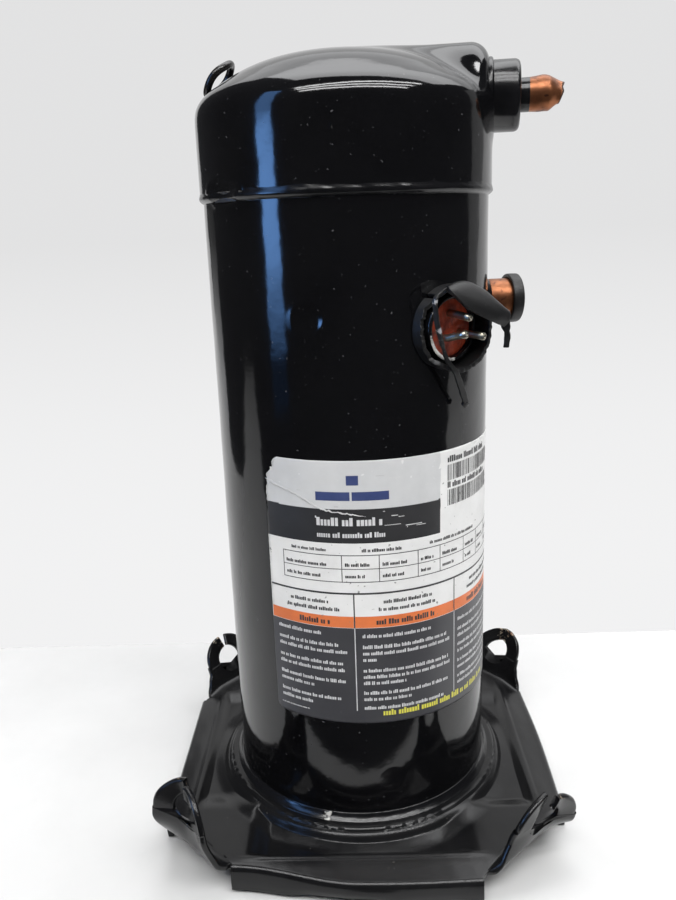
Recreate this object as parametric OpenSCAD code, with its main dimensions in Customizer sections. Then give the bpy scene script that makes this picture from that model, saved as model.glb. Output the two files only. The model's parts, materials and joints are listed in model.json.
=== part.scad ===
// Hermetic scroll compressor: welded steel shell on a pressed base with four feet,
// with the motor, crankshaft, scroll set and valves that work inside it.
// Millimetres, Z up, origin on the floor under the axis of the shell.
// +X points to the side with the two pipe stubs, -Y to the side with the rating label.

/* [Shell] */
// Outer diameter of the shell tube
shell_od = 140; // [139:0.5:141]
// Wall thickness of the tube, the caps and the base plate
wall = 3; // [2.8:0.1:3.1]
// Height of the tube's lower end above the floor
tube_bottom = 20; // [20:0.5:21]
// Height of the tube's upper end above the floor
tube_top = 326; // [326:0.2:326.4]
// Height of the top of the domed cap
cap_top = 391; // [388:1:394]

/* [Base] */
// Half width of the square base plate
base_half = 104; // [100:1:106]
// Height of the flat part of the base plate, at its top face
base_z = 14; // [13:0.5:15]
// Distance from the shell axis to the bend of each foot
foot_bend_r = 119; // [117:1:122]
// Angle by which each foot is bent up
foot_tilt = 66; // [55:1:75]
// Radius of the hole in each foot
foot_hole_r = 9.5; // [9:0.1:10]

/* [Pipe stubs] */
// Bearing of the discharge stub about the shell axis, in degrees from +X
discharge_az = -8; // [-12:1:0]
// Height of the discharge stub
discharge_z = 370; // [369:0.5:371]
// Inner radius of the discharge stub, for half inch pipe
discharge_bore_r = 6.4; // [6.37:0.01:6.45]
// Bearing of the suction stub, in degrees from +X
suction_az = 10; // [8:1:12]
// Height of the suction stub
suction_z = 274; // [272:0.5:275]
// Inner radius of the suction stub, for three quarter inch pipe
suction_bore_r = 9.6; // [9.55:0.01:9.65]

/* [Terminal] */
// Bearing of the electrical terminal, in degrees from +X
terminal_az = -51; // [-54:1:-48]
// Height of the electrical terminal
terminal_z = 268; // [266:0.5:269]

/* [Scroll set] */
// Radius of the base circle of the scroll involutes
base_circle_r = 2.6; // [2.58:0.01:2.62]
// Thickness of the scroll walls
wrap_t = 3.6; // [3.5:0.05:3.6]
// Clearance between the flanks of the two scroll walls
flank_gap = 0.2; // [0.15:0.01:0.25]

/* [Hidden] */
$fn = 96;

shell_r = shell_od / 2;
bore_r = shell_r - wall;
eps = 0.5;

// Scroll geometry
wrap_pitch = 2 * PI * base_circle_r;
orbit_r = wrap_pitch / 2 - wrap_t - flank_gap;
wrap_start = 3.4;
orbiting_wrap_end = 16;
fixed_wrap_end = 18.2;
wrap_steps = 110;

// Heights of the scroll set
thrust_z = 286;
orbiting_z = thrust_z + 0.3;
orbiting_plate_t = 6;
wrap_floor = orbiting_z + orbiting_plate_t;
wrap_ceiling = 309;
fixed_plate_top = 319;
seal_wall_top = 325;
fixed_wall_in = 55.2;
fixed_wall_out = 65.5;
orbiting_r = 50;
seal_in = 24;
seal_out = 40;

// Main bearing housing
arm_z = 264;
arm_w = 22;
arm_az = -105;
housing_r = 56.5;
ring_floor = 278;
thrust_r = 40;
cavity_r = 22;
cavity_z = 262;
journal_r = 12.5;
main_bush_r = 15;
bolt_r = 2.5;
bolt_circle_r = 60.3;

// Crankshaft and orbiting hub
pin_r = 8;
pin_flat = 6.4;
drive_bush_r = 10.5;
hub_bush_in = 10.56;
hub_bush_out = 12.5;
hub_r = 16;
hub_z = 266.3;
shaft_r = 11;
lower_journal_r = 8;
lower_bush_out = 10.5;
shaft_bottom = 35;
pickup_r = 4.5;

// Oldham ring
oldham_in = 45;
oldham_out = 51;
oldham_z = 279.2;
oldham_t = 4;
key_w = 8;
key_len = 5;
key_r = 45.5;

// Motor
stack_z = 120;
stack_h = 70;
rotor_r = 33;
stator_in = 33.45;
slots = 24;
slot_in = 36.5;
slot_out = 53;
bars = 20;
bar_r = 2;
bar_circle_r = 28.5;

// Top cap
cap_skirt_top = 366;
cap_skirt_r = shell_r + 1.5;
cap_shoulder_rx = 44;
boss_r = 20;
boss_wall = 3.2;
relief_az = 60;
relief_at = 57;

// Bottom cap
bottom_knuckle = 20;
bottom_z = 4;
bottom_lip = 36;
lower_arm_az = -78;

// Base plate and feet
collar_r = 80;
dish_r = 98;
corner_r = 118;
skirt_len = 128;
foot_ring_x = 20;
foot_ring_r = 17;
foot_neck_w = 28;
foot_gap = 8;

// Lifting eye
eye_rod_r = 2.3;
eye_r = 8.8;
eye_open = 300;

// Rating label
label_from = -127;
label_angle = 134;
label_bottom = 71;
label_top = 211.5;

// Outer fittings
lip_x = 70.2;
cup_x = 72;
cup_end = 83.6;
cup_r = 15.8;
cup_in = 13;
seat_x = 70.4;
stub_r = 7.5;
stub_end = 103.9;
suction_r = 10.4;
suction_end = 87;
plug_r = 12.6;
plug_start = 84.6;
plug_end = 90.4;
terminal_r = 13;
terminal_pin_r = 1.6;
pin_circle_r = 6.6;
cover_r = 19.2;
cover_t = 2;
cover_x = 80;

// Points on an arc of an ellipse, from angle a0 to a1 in n steps
function arc_points(cx, cy, rx, ry, a0, a1, n) =
    [for (i = [0 : n]) let (a = a0 + (a1 - a0) * i / n) [cx + rx * cos(a), cy + ry * sin(a)]];

// A point of the involute of a circle of radius r, unrolled by u radians, with its start turned by s radians
function involute_point(r, u, s) =
    let (a = (u + s) * 180 / PI) [r * (cos(a) + u * sin(a)), r * (sin(a) - u * cos(a))];

// Places children with their Z axis pointing outwards along a bearing, at a height
module outwards(az, z) {
    rotate([0, 0, az])
        translate([0, 0, z])
            rotate([0, 90, 0])
                children();
}

module ring(r_out, r_in, h) {
    difference() {
        cylinder(h = h, r = r_out);
        translate([0, 0, -eps])
            cylinder(h = h + 2 * eps, r = r_in);
    }
}

module center_shell() {
    color("#141517")
    difference() {
        translate([0, 0, tube_bottom])
            ring(shell_r, bore_r, tube_top - tube_bottom);
        outwards(terminal_az, terminal_z)
            translate([0, 0, bore_r - 6])
                cylinder(h = 14, r = terminal_r);
        outwards(suction_az, suction_z)
            translate([0, 0, bore_r - 6])
                cylinder(h = 14, r = suction_r);
        // Stake marks that hold the main bearing housing and the lower bearing frame
        for (k = [0 : 3]) {
            rotate([0, 0, arm_az + 90 * k])
                translate([shell_r + 12.2, 0, 275])
                    sphere(r = 14);
            rotate([0, 0, lower_arm_az + 90 * k])
                translate([shell_r + 12.8, 0, 42])
                    sphere(r = 14);
        }
    }
}

module cap_profile(inset) {
    r = cap_skirt_r - inset;
    rise = cap_top - inset - 2.5 - cap_skirt_top;
    polygon(concat(
        [[0, tube_top + 2], [r, tube_top + 2]],
        arc_points(r - cap_shoulder_rx, cap_skirt_top, cap_shoulder_rx, rise, 0, 84, 12),
        [[0, cap_top - inset]]));
}

module top_cap() {
    color("#141517")
    difference() {
        union() {
            intersection() {
                rotate_extrude()
                    cap_profile(0);
                translate([0, 0, tube_top + 4])
                    cylinder(h = 100, r = 100);
            }
            outwards(discharge_az, discharge_z)
                translate([0, 0, 20])
                    cylinder(h = lip_x - 20, r = boss_r);
        }
        rotate_extrude()
            cap_profile(wall);
        outwards(discharge_az, discharge_z)
            translate([0, 0, 18])
                cylinder(h = lip_x - boss_wall - 18, r = boss_r - wall);
        outwards(discharge_az, discharge_z)
            cylinder(h = 90, r = cup_in);
    }
}

module bottom_cap_profile(inset) {
    r = bore_r - inset;
    knuckle_z = bottom_z + bottom_knuckle;
    polygon(concat(
        [[0, bottom_lip + (inset > 0 ? eps : 0)]],
        [[0, bottom_z + inset]],
        arc_points(bore_r - bottom_knuckle, knuckle_z, bottom_knuckle - inset, bottom_knuckle - inset, -90, 0, 8),
        [[r, bottom_lip + (inset > 0 ? eps : 0)]]));
}

module bottom_cap() {
    color("#1b1c1e")
    difference() {
        rotate_extrude()
            bottom_cap_profile(0);
        rotate_extrude()
            bottom_cap_profile(wall);
    }
}

module foot() {
    translate([foot_bend_r, 0, base_z - wall / 2])
        rotate([0, -foot_tilt, 0])
            translate([0, 0, -wall / 2])
                linear_extrude(wall)
                    difference() {
                        union() {
                            translate([-2, -foot_neck_w / 2])
                                square([foot_ring_x, foot_neck_w]);
                            translate([foot_ring_x, 0])
                                circle(r = foot_ring_r);
                        }
                        translate([foot_ring_x, 0])
                            circle(r = foot_hole_r);
                        translate([foot_ring_x, -foot_gap / 2])
                            square([foot_ring_r + 2, foot_gap]);
                    }
}

module base_outline() {
    intersection() {
        square(2 * base_half, center = true);
        rotate(45)
            square(2 * corner_r, center = true);
    }
}

module base_plate() {
    color("#18191b")
    union() {
        // Flat border of the plate
        translate([0, 0, base_z - wall])
            linear_extrude(wall)
                difference() {
                    base_outline();
                    circle(r = dish_r);
                }
        // Raised seat under the shell, with its sloping side
        rotate_extrude()
            polygon([[bore_r + 0.2, tube_bottom - wall], [collar_r, tube_bottom - wall],
                [dish_r, base_z - wall], [dish_r + 1, base_z - wall], [dish_r + 1, base_z],
                [dish_r, base_z], [collar_r, tube_bottom], [bore_r + 0.2, tube_bottom]]);
        // Skirts that stand on the floor
        for (k = [0 : 3])
            rotate([0, 0, 90 * k])
                translate([base_half - wall, -skirt_len / 2, 0])
                    cube([wall, skirt_len, base_z]);
        // Feet, bent up at the corners
        for (k = [0 : 3])
            rotate([0, 0, 45 + 90 * k])
                foot();
    }
}

module seam_weld() {
    color("#1b1c1e")
        rotate_extrude()
            polygon([[shell_r, tube_top - 2.5], [cap_skirt_r + 0.4, tube_top - 0.5],
                [cap_skirt_r + 0.6, tube_top + 1.5], [cap_skirt_r, tube_top + 4], [shell_r, tube_top + 4]]);
}

module base_weld() {
    color("#1b1c1e")
        rotate_extrude()
            polygon([[shell_r, tube_bottom], [shell_r + 5, tube_bottom],
                [shell_r + 3.4, tube_bottom + 3.2], [shell_r, tube_bottom + 5]]);
}

module lifting_eye() {
    color("#141517")
    difference() {
        translate([-59.5, 3, 384])
            rotate([0, 0, 8])
                rotate([0, -50, 0])
                    union() {
                        rotate([0, 0, -eye_open / 2])
                            rotate_extrude(angle = eye_open)
                                translate([eye_r, 0])
                                    circle(r = eye_rod_r, $fn = 32);
                        // Two straight legs, welded to the shoulder of the cap
                        for (side = [-1, 1])
                            rotate([0, 0, side * eye_open / 2])
                                translate([eye_r, -side * 0.4, -9])
                                    cylinder(h = 9.3, r = eye_rod_r - 0.3, $fn = 32);
                    }
        rotate_extrude()
            cap_profile(0);
    }
}

module discharge_fitting() {
    color("#141517")
    difference() {
        outwards(discharge_az, discharge_z)
            rotate_extrude()
                polygon(concat(
                    [[cup_in, lip_x], [17, lip_x], [17, lip_x + 0.9], [cup_r, cup_x]],
                    arc_points(cup_r - 4.5, cup_end - 4.5, 4.5, 4.5, 0, 90, 6),
                    [[stub_r, cup_end], [stub_r, cup_end - wall], [cup_in, cup_end - wall]]));
        rotate_extrude()
            cap_profile(0);
    }
}

module discharge_stub() {
    color("#b5694a")
    outwards(discharge_az, discharge_z)
        translate([0, 0, cup_end - wall])
            ring(stub_r, discharge_bore_r, stub_end - cup_end + wall);
}

module check_valve_seat() {
    color("#8d9094")
    outwards(discharge_az, discharge_z)
        translate([0, 0, seat_x])
            ring(cup_in, 5.5, 2.4);
}

module check_valve_disc() {
    color("#c4c7cb")
    outwards(discharge_az, discharge_z)
        translate([0, 0, seat_x + 2.7])
            cylinder(h = 1, r = 8.5);
}

module check_valve_stop() {
    color("#8d9094")
    outwards(discharge_az, discharge_z)
        translate([0, 0, seat_x + 6.9])
            difference() {
                cylinder(h = 1.5, r = cup_in);
                translate([0, 0, -eps])
                    cylinder(h = 3, r = 4);
                for (k = [0 : 5])
                    rotate([0, 0, 60 * k])
                        translate([9.8, 0, -eps])
                            cylinder(h = 3, r = 2);
            }
}

module suction_collar() {
    color("#1b1c1e")
    difference() {
        outwards(suction_az, suction_z)
            translate([0, 0, shell_r - 3])
                difference() {
                    cylinder(h = 5.4, r1 = suction_r + 3, r2 = suction_r + 1.4);
                    translate([0, 0, -eps])
                        cylinder(h = 8, r = suction_r);
                }
        cylinder(h = 400, r = shell_r);
    }
}

module suction_stub() {
    color("#b5694a")
    outwards(suction_az, suction_z)
        translate([0, 0, bore_r - 1.6])
            ring(suction_r, suction_bore_r, suction_end - bore_r + 1.6);
}

module suction_plug() {
    color("#1d1e20")
    outwards(suction_az, suction_z)
        rotate_extrude()
            polygon(concat(
                [[0, suction_end + 0.3], [suction_r + 0.3, suction_end + 0.3], [suction_r + 0.3, plug_start],
                [plug_r - 0.6, plug_start], [plug_r, plug_start + 0.6]],
                arc_points(plug_r - 1.2, plug_end - 1.2, 1.2, 1.2, 0, 90, 4),
                [[4, plug_end], [3, plug_end - 1], [0, plug_end - 1]]));
}

module suction_baffle() {
    color("#9a9da1")
    rotate([0, 0, suction_az - 13])
        difference() {
            translate([0, 0, 257])
                rotate_extrude(angle = 26)
                    translate([59.5, 0])
                        square([bore_r - 59.5, 28]);
            translate([0, 0, 256])
                rotate([0, 0, 1.2])
                    rotate_extrude(angle = 23.6)
                        translate([60.7, 0])
                            square([bore_r - 60, 40]);
        }
}

module terminal_fence() {
    color("#8c8f93")
    difference() {
        outwards(terminal_az, terminal_z)
            translate([0, 0, shell_r - 3])
                ring(terminal_r + 2, terminal_r, 7);
        cylinder(h = 400, r = shell_r);
    }
}

module terminal_body() {
    color("#777a7e")
    outwards(terminal_az, terminal_z)
        translate([0, 0, bore_r - 4])
            difference() {
                cylinder(h = 9, r = terminal_r);
                pin_places()
                    translate([0, 0, -eps])
                        cylinder(h = 10, r = terminal_pin_r);
            }
}

module pin_places() {
    for (a = [65, 185, 305])
        rotate([0, 0, a])
            translate([pin_circle_r, 0, 0])
                children();
}

module terminal_sealant() {
    color("#a23a22")
    outwards(terminal_az, terminal_z)
        translate([0, 0, bore_r + 5])
            difference() {
                cylinder(h = 1.6, r = terminal_r);
                pin_places()
                    translate([0, 0, -eps])
                        cylinder(h = 3, r = terminal_pin_r);
            }
}

module terminal_pins() {
    color("#c9ccd0")
    outwards(terminal_az, terminal_z)
        pin_places()
            translate([0, 0, 57])
                cylinder(h = 29.5, r = terminal_pin_r);
}

// Rubber boot over the terminal, torn open on one side
module terminal_cover() {
    color("#1d1e20")
    difference() {
        outwards(terminal_az, terminal_z)
            difference() {
                translate([0, 0, shell_r - 6])
                    cylinder(h = cover_x - shell_r + 6, r = cover_r);
                translate([0, 0, shell_r - 7])
                    cylinder(h = 100, r = cover_r - cover_t);
                // Torn side
                rotate([0, 0, 225])
                    translate([0, 0, shell_r - 7])
                        linear_extrude(30)
                            polygon([[0, 0], [40, -25], [40, 25]]);
            }
        cylinder(h = 400, r = shell_r + 0.05);
    }
    // Flap folded over the upper edge
    color("#1d1e20")
    outwards(terminal_az, terminal_z)
        translate([0, 0, cover_x - cover_t])
            linear_extrude(cover_t)
                intersection() {
                    circle(r = cover_r);
                    translate([-40, -20])
                        square([31, 60]);
                }
}

module cover_strap() {
    color("#1d1e20")
    difference() {
        rotate([0, 0, terminal_az])
            translate([shell_r + 1, -6, terminal_z - 19])
                rotate([-32, 0, 0])
                    translate([0, -2.2, -20])
                        cube([1.2, 4.4, 21]);
        outwards(terminal_az, terminal_z)
            cylinder(h = 90, r = cover_r);
    }
}

module lead_block() {
    color("#d8d4c4")
    outwards(terminal_az, terminal_z)
        translate([0, 0, 57.2])
            difference() {
                cylinder(h = 5.4, r = 10.5);
                pin_places()
                    translate([0, 0, -eps])
                        cylinder(h = 7, r = terminal_pin_r);
            }
}

module motor_leads() {
    color("#3a3f6b")
    difference() {
        rotate([0, 0, terminal_az])
            for (side = [-1, 0, 1])
                translate([60, side * 4, 0]) {
                    translate([0, 0, 206])
                        cylinder(h = terminal_z - 8 - 206, r = 1.3, $fn = 32);
                    translate([0, 0, 206])
                        sphere(r = 1.3, $fn = 32);
                    translate([-7.3, 0, 206])
                        rotate([0, 90, 0])
                            cylinder(h = 7.3, r = 1.3, $fn = 32);
                }
        outwards(terminal_az, terminal_z)
            cylinder(h = 90, r = 10.5);
    }
}

module rating_label() {
    color("#8f9297")
    translate([0, 0, label_bottom])
        rotate([0, 0, label_from])
            rotate_extrude(angle = label_angle)
                translate([shell_r, 0])
                    square([0.25, label_top - label_bottom]);
}

module muffler_plate() {
    color("#8d9094")
    difference() {
        rotate_extrude()
            polygon([[14, 330], [46, 330], [50, tube_top], [cap_skirt_r - wall, tube_top],
                [shell_r, tube_top], [shell_r, tube_top + 4], [49, tube_top + 4], [45, 334], [14, 334]]);
        rotate([0, 0, relief_az])
            translate([relief_at, 0, 300])
                cylinder(h = 60, r = 4);
    }
}

module relief_valve() {
    color("#b9a25a")
    rotate([0, 0, relief_az])
        translate([relief_at, 0, 0])
            difference() {
                union() {
                    translate([0, 0, tube_top - 3])
                        cylinder(h = 8, r = 4);
                    translate([0, 0, tube_top + 4])
                        cylinder(h = 8, r = 6.5, $fn = 6);
                }
                translate([0, 0, 300])
                    cylinder(h = 60, r = 1.8);
            }
}

module temperature_disc() {
    color("#c4c7cb")
    rotate([0, 0, 200])
        translate([30, 0, 334])
            cylinder(h = 3, r1 = 9, r2 = 8);
}

module floating_seal() {
    color("#6f7276")
    rotate_extrude()
        polygon([[seal_in + 0.3, 313], [seal_out - 0.3, 313], [seal_out - 0.3, 324], [31, 324],
            [30, 329.2], [26.5, 329.2], [26.5, 324], [seal_in + 0.3, 324]]);
}

// One involute wall, standing from z0 to z1
module scroll_wrap(z0, z1, last) {
    half = wrap_t / (2 * base_circle_r);
    outer = [for (i = [0 : wrap_steps]) let (u = wrap_start + (last - wrap_start) * i / wrap_steps)
        involute_point(base_circle_r, u + half, -half)];
    inner = [for (i = [wrap_steps : -1 : 0]) let (u = wrap_start + (last - wrap_start) * i / wrap_steps)
        involute_point(base_circle_r, u - half, half)];
    translate([0, 0, z0])
        linear_extrude(z1 - z0)
            polygon(concat(outer, inner));
}

module bolt_places() {
    for (k = [0 : 3])
        rotate([0, 0, arm_az + 90 * k])
            translate([bolt_circle_r, 0, 0])
                children();
}

module fixed_scroll() {
    color("#7c7f83")
    difference() {
        union() {
            translate([0, 0, wrap_ceiling])
                cylinder(h = fixed_plate_top - wrap_ceiling, r = fixed_wall_out);
            translate([0, 0, thrust_z])
                ring(fixed_wall_out, fixed_wall_in, wrap_ceiling - thrust_z + 1);
            translate([0, 0, fixed_plate_top - 1])
                ring(seal_in, seal_in - 6, seal_wall_top - fixed_plate_top + 1);
            translate([0, 0, fixed_plate_top - 1])
                ring(seal_out + 5, seal_out, seal_wall_top - fixed_plate_top + 1);
            scroll_wrap(wrap_floor + 0.2, wrap_ceiling + 1, fixed_wrap_end);
        }
        // Groove of the floating seal
        translate([0, 0, 312.5])
            ring(seal_out, seal_in, 20);
        // Discharge port
        translate([0, 0, wrap_ceiling - 5])
            cylinder(h = 30, r = 4.5);
        // Suction window in the outer wall
        rotate([0, 0, suction_az])
            translate([50, -14, 293])
                cube([30, 28, 13]);
        bolt_places()
            translate([0, 0, thrust_z - 1])
                cylinder(h = 60, r = bolt_r);
    }
}

module at_orbit() {
    translate([orbit_r, 0, 0])
        children();
}

module orbiting_scroll() {
    color("#8a8d91")
    at_orbit()
        difference() {
            union() {
                translate([0, 0, orbiting_z])
                    cylinder(h = orbiting_plate_t, r = orbiting_r);
                translate([0, 0, hub_z])
                    cylinder(h = orbiting_z - hub_z + 1, r = hub_r);
                rotate([0, 0, 180])
                    scroll_wrap(wrap_floor - 1, wrap_ceiling - 0.2, orbiting_wrap_end);
            }
            translate([0, 0, hub_z - 1])
                cylinder(h = orbiting_z - hub_z, r = hub_bush_out);
            for (side = [-1, 1])
                translate([-key_w / 2 - 0.2, side > 0 ? key_r - 0.5 : -key_r - 9.5, orbiting_z - 1])
                    cube([key_w + 0.4, 10, 4]);
        }
}

module hub_bush() {
    color("#b08d57")
    at_orbit()
        translate([0, 0, hub_z + 0.5])
            ring(hub_bush_out, hub_bush_in, orbiting_z - hub_z - 1.5);
}

// Round pin with one driving flat
module crank_pin_section() {
    intersection() {
        circle(r = pin_r);
        translate([-pin_r, -pin_r])
            square([pin_r + pin_flat, 2 * pin_r]);
    }
}

module drive_bushing() {
    color("#9c8350")
    at_orbit()
        translate([0, 0, hub_z + 0.7])
            linear_extrude(orbiting_z - hub_z - 2.4)
                difference() {
                    circle(r = drive_bush_r);
                    crank_pin_section();
                }
}

module oldham_ring() {
    color("#a5a8ab")
    union() {
        translate([0, 0, oldham_z])
            ring(oldham_out, oldham_in, oldham_t);
        // Upper keys, towards the orbiting scroll
        for (side = [-1, 1])
            translate([-key_w / 2, side > 0 ? key_r : -key_r - key_len, oldham_z + 1])
                cube([key_w, key_len, thrust_z - oldham_z - 1]);
        // Lower keys, in the keyways of the housing
        for (side = [-1, 1])
            translate([side > 0 ? key_r : -key_r - key_len, -key_w / 2, oldham_z - 2.3])
                cube([key_len, key_w, 3.3]);
    }
}

module scroll_bolts() {
    color("#55585c")
    bolt_places() {
        translate([0, 0, 270])
            cylinder(h = fixed_plate_top - 270, r = bolt_r);
        translate([0, 0, fixed_plate_top])
            cylinder(h = 4.5, r = 4.3, $fn = 6);
    }
}

module main_bearing_housing() {
    color("#6e7175")
    difference() {
        union() {
            rotate_extrude()
                polygon([[main_bush_r, 226], [21, 226], [21, 250], [34, 262], [housing_r, 269],
                    [housing_r, ring_floor], [thrust_r, ring_floor], [thrust_r, thrust_z],
                    [cavity_r, thrust_z], [cavity_r, cavity_z], [main_bush_r, cavity_z]]);
            // Arms that reach the shell and carry the fixed scroll
            for (k = [0 : 3])
                rotate([0, 0, arm_az + 90 * k])
                    translate([0, 0, arm_z])
                        linear_extrude(thrust_z - arm_z)
                            difference() {
                                intersection() {
                                    circle(r = bore_r);
                                    translate([housing_r - 1, -arm_w / 2])
                                        square([20, arm_w]);
                                }
                                circle(r = housing_r - 0.5);
                            }
        }
        translate([0, 0, ring_floor])
            ring(housing_r, thrust_r, 20);
        // Keyways of the Oldham ring
        for (side = [-1, 1])
            translate([side > 0 ? thrust_r + 0.8 : -thrust_r - 15.3, -key_w / 2 - 0.06, ring_floor - 1.6])
                cube([14.5, key_w + 0.12, 5]);
        bolt_places()
            translate([0, 0, 269.5])
                cylinder(h = 30, r = bolt_r);
    }
}

module main_bush() {
    color("#b08d57")
    translate([0, 0, 227])
        ring(main_bush_r, journal_r + 0.06, 33);
}

module crankshaft() {
    color("#9da0a4")
    difference() {
        union() {
            translate([0, 0, shaft_bottom])
                cylinder(h = 20, r = lower_journal_r);
            translate([0, 0, 54])
                cylinder(h = 170, r = shaft_r);
            translate([0, 0, 223])
                cylinder(h = cavity_z - 223, r = journal_r);
            at_orbit()
                translate([0, 0, cavity_z - 1])
                    linear_extrude(orbiting_z - cavity_z - 0.6)
                        crank_pin_section();
        }
        // Seat of the oil pickup and the oil gallery
        translate([0, 0, shaft_bottom - 1])
            cylinder(h = 11, r = pickup_r);
        translate([2, 0, shaft_bottom])
            cylinder(h = 300, r = 1.8);
    }
}

// Half round weight on the shaft, on the side given by its bearing
module counterweight(z, h, r, az) {
    rotate([0, 0, az])
        translate([0, 0, z])
            linear_extrude(h)
                difference() {
                    union() {
                        circle(r = shaft_r + 4);
                        intersection() {
                            circle(r = r);
                            translate([0, -r])
                                square([r, 2 * r]);
                        }
                    }
                    circle(r = shaft_r);
                }
}

module upper_counterweight() {
    color("#84878b")
        counterweight(201, 14, 31, 180);
}

module lower_counterweight() {
    color("#84878b")
        counterweight(99, 12, 29, 0);
}

module bar_places() {
    for (k = [0 : bars - 1])
        rotate([0, 0, 360 / bars * k])
            translate([bar_circle_r, 0, 0])
                children();
}

module rotor_core() {
    color("#5b5e63")
    translate([0, 0, stack_z])
        linear_extrude(stack_h)
            difference() {
                circle(r = rotor_r);
                circle(r = shaft_r);
                bar_places()
                    circle(r = bar_r, $fn = 32);
            }
}

module rotor_cage() {
    color("#b9bcc0")
    union() {
        for (z = [stack_z - 8, stack_z + stack_h])
            translate([0, 0, z])
                ring(32, 20, 8);
        bar_places()
            translate([0, 0, stack_z - 1])
                cylinder(h = stack_h + 2, r = bar_r, $fn = 32);
    }
}

module slot_places(from, to, width) {
    for (k = [0 : slots - 1])
        rotate([0, 0, 360 / slots * k])
            translate([from, -width / 2])
                square([to - from, width]);
}

module stator_core() {
    color("#5f6267")
    translate([0, 0, stack_z])
        linear_extrude(stack_h)
            difference() {
                circle(r = bore_r);
                circle(r = stator_in);
                slot_places(stator_in - 1, slot_in + 1, 1.8);
                slot_places(slot_in, slot_out, 5.6);
                // Flats that let the oil run back to the sump
                for (k = [0 : 3])
                    rotate([0, 0, 45 + 90 * k])
                        translate([64.4, -30])
                            square([10, 60]);
            }
}

module stator_winding() {
    color("#a4552c")
    union() {
        for (z = [stack_z - 21, stack_z + stack_h + 2])
            translate([0, 0, z])
                rotate_extrude()
                    polygon(concat(
                        arc_points(41.5, 4, 4, 4, 180, 270, 4), arc_points(48.5, 4, 4, 4, 270, 360, 4),
                        arc_points(48.5, 15, 4, 4, 0, 90, 4), arc_points(41.5, 15, 4, 4, 90, 180, 4)));
        translate([0, 0, stack_z - 3])
            linear_extrude(stack_h + 6)
                slot_places(slot_in + 1.2, slot_out - 0.3, 5);
    }
}

module motor_protector() {
    color("#2b2c2e")
    rotate([0, 0, 150])
        translate([38.5, -10, stack_z + stack_h + 21])
            cube([13, 20, 7]);
}

module lower_bearing_frame() {
    color("#6e7175")
    difference() {
        union() {
            translate([0, 0, 30])
                cylinder(h = 20, r = 16);
            translate([0, 0, 38])
                linear_extrude(8)
                    intersection() {
                        circle(r = bore_r);
                        union()
                            for (k = [0, 1])
                                rotate(lower_arm_az + 90 * k)
                                    square([200, 20], center = true);
                    }
        }
        translate([0, 0, 33])
            cylinder(h = 30, r = lower_bush_out);
        translate([0, 0, 20])
            cylinder(h = 30, r = 5.5);
    }
}

module lower_bush() {
    color("#b08d57")
    translate([0, 0, 35])
        ring(lower_bush_out, lower_journal_r + 0.06, 14.5);
}

module thrust_washer() {
    color("#b9bcc0")
    translate([0, 0, 33])
        ring(lower_bush_out, 5, 1.7);
}

module oil_pickup() {
    color("#b9bcc0")
    translate([0, 0, 13])
        ring(pickup_r, 3.2, 32);
}

module sump_magnet() {
    color("#3b3c3f")
    rotate([0, 0, lower_arm_az + 180])
        translate([36, 0, 33.5])
            cylinder(h = 4.5, r = 8);
}

center_shell();
top_cap();
bottom_cap();
base_plate();
seam_weld();
base_weld();
lifting_eye();
discharge_fitting();
discharge_stub();
check_valve_seat();
check_valve_disc();
check_valve_stop();
suction_collar();
suction_stub();
suction_plug();
suction_baffle();
terminal_fence();
terminal_body();
terminal_sealant();
terminal_pins();
terminal_cover();
cover_strap();
lead_block();
motor_leads();
rating_label();
muffler_plate();
relief_valve();
temperature_disc();
floating_seal();
fixed_scroll();
orbiting_scroll();
hub_bush();
drive_bushing();
oldham_ring();
scroll_bolts();
main_bearing_housing();
main_bush();
crankshaft();
upper_counterweight();
lower_counterweight();
rotor_core();
rotor_cage();
stator_core();
stator_winding();
motor_protector();
lower_bearing_frame();
lower_bush();
thrust_washer();
oil_pickup();
sump_magnet();
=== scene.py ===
import json
import math

import bpy
import numpy as np
from mathutils import Matrix, Vector


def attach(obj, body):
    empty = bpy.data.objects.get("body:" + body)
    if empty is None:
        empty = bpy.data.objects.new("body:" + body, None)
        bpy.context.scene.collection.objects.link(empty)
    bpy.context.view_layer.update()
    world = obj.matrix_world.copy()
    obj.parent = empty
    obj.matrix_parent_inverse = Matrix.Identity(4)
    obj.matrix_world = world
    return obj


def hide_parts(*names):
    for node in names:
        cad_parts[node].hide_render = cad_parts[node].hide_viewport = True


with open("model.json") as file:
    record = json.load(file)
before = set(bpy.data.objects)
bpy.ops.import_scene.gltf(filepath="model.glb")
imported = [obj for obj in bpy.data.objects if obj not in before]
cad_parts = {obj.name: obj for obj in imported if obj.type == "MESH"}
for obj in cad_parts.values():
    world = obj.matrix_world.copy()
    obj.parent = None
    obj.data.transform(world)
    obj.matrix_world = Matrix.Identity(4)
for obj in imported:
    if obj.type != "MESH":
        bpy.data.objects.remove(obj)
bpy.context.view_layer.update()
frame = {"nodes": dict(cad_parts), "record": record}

SHELL_R = 70.0
CAP_R = 71.5
TUBE_IN_R = 67.0
TUBE_BOTTOM, TUBE_TOP = 20.4, 327.0
DENT_AZ, DENT_Z = -141.0, 330.0
SHEET = 3.0
DISCHARGE_AZ, DISCHARGE_Z = -8.0, 370.0
SUCTION_AZ, SUCTION_Z = 10.0, 274.0
TERMINAL_AZ, TERMINAL_Z = -51.0, 268.0


# ---------------------------------------------- numbers and shapes
def step(a, b, x):
    t = np.clip((x - a) / (b - a), 0.0, 1.0)
    return t * t * (3.0 - 2.0 * t)


def bell(x, width):
    return np.exp(-((x / width) ** 2))


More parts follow.
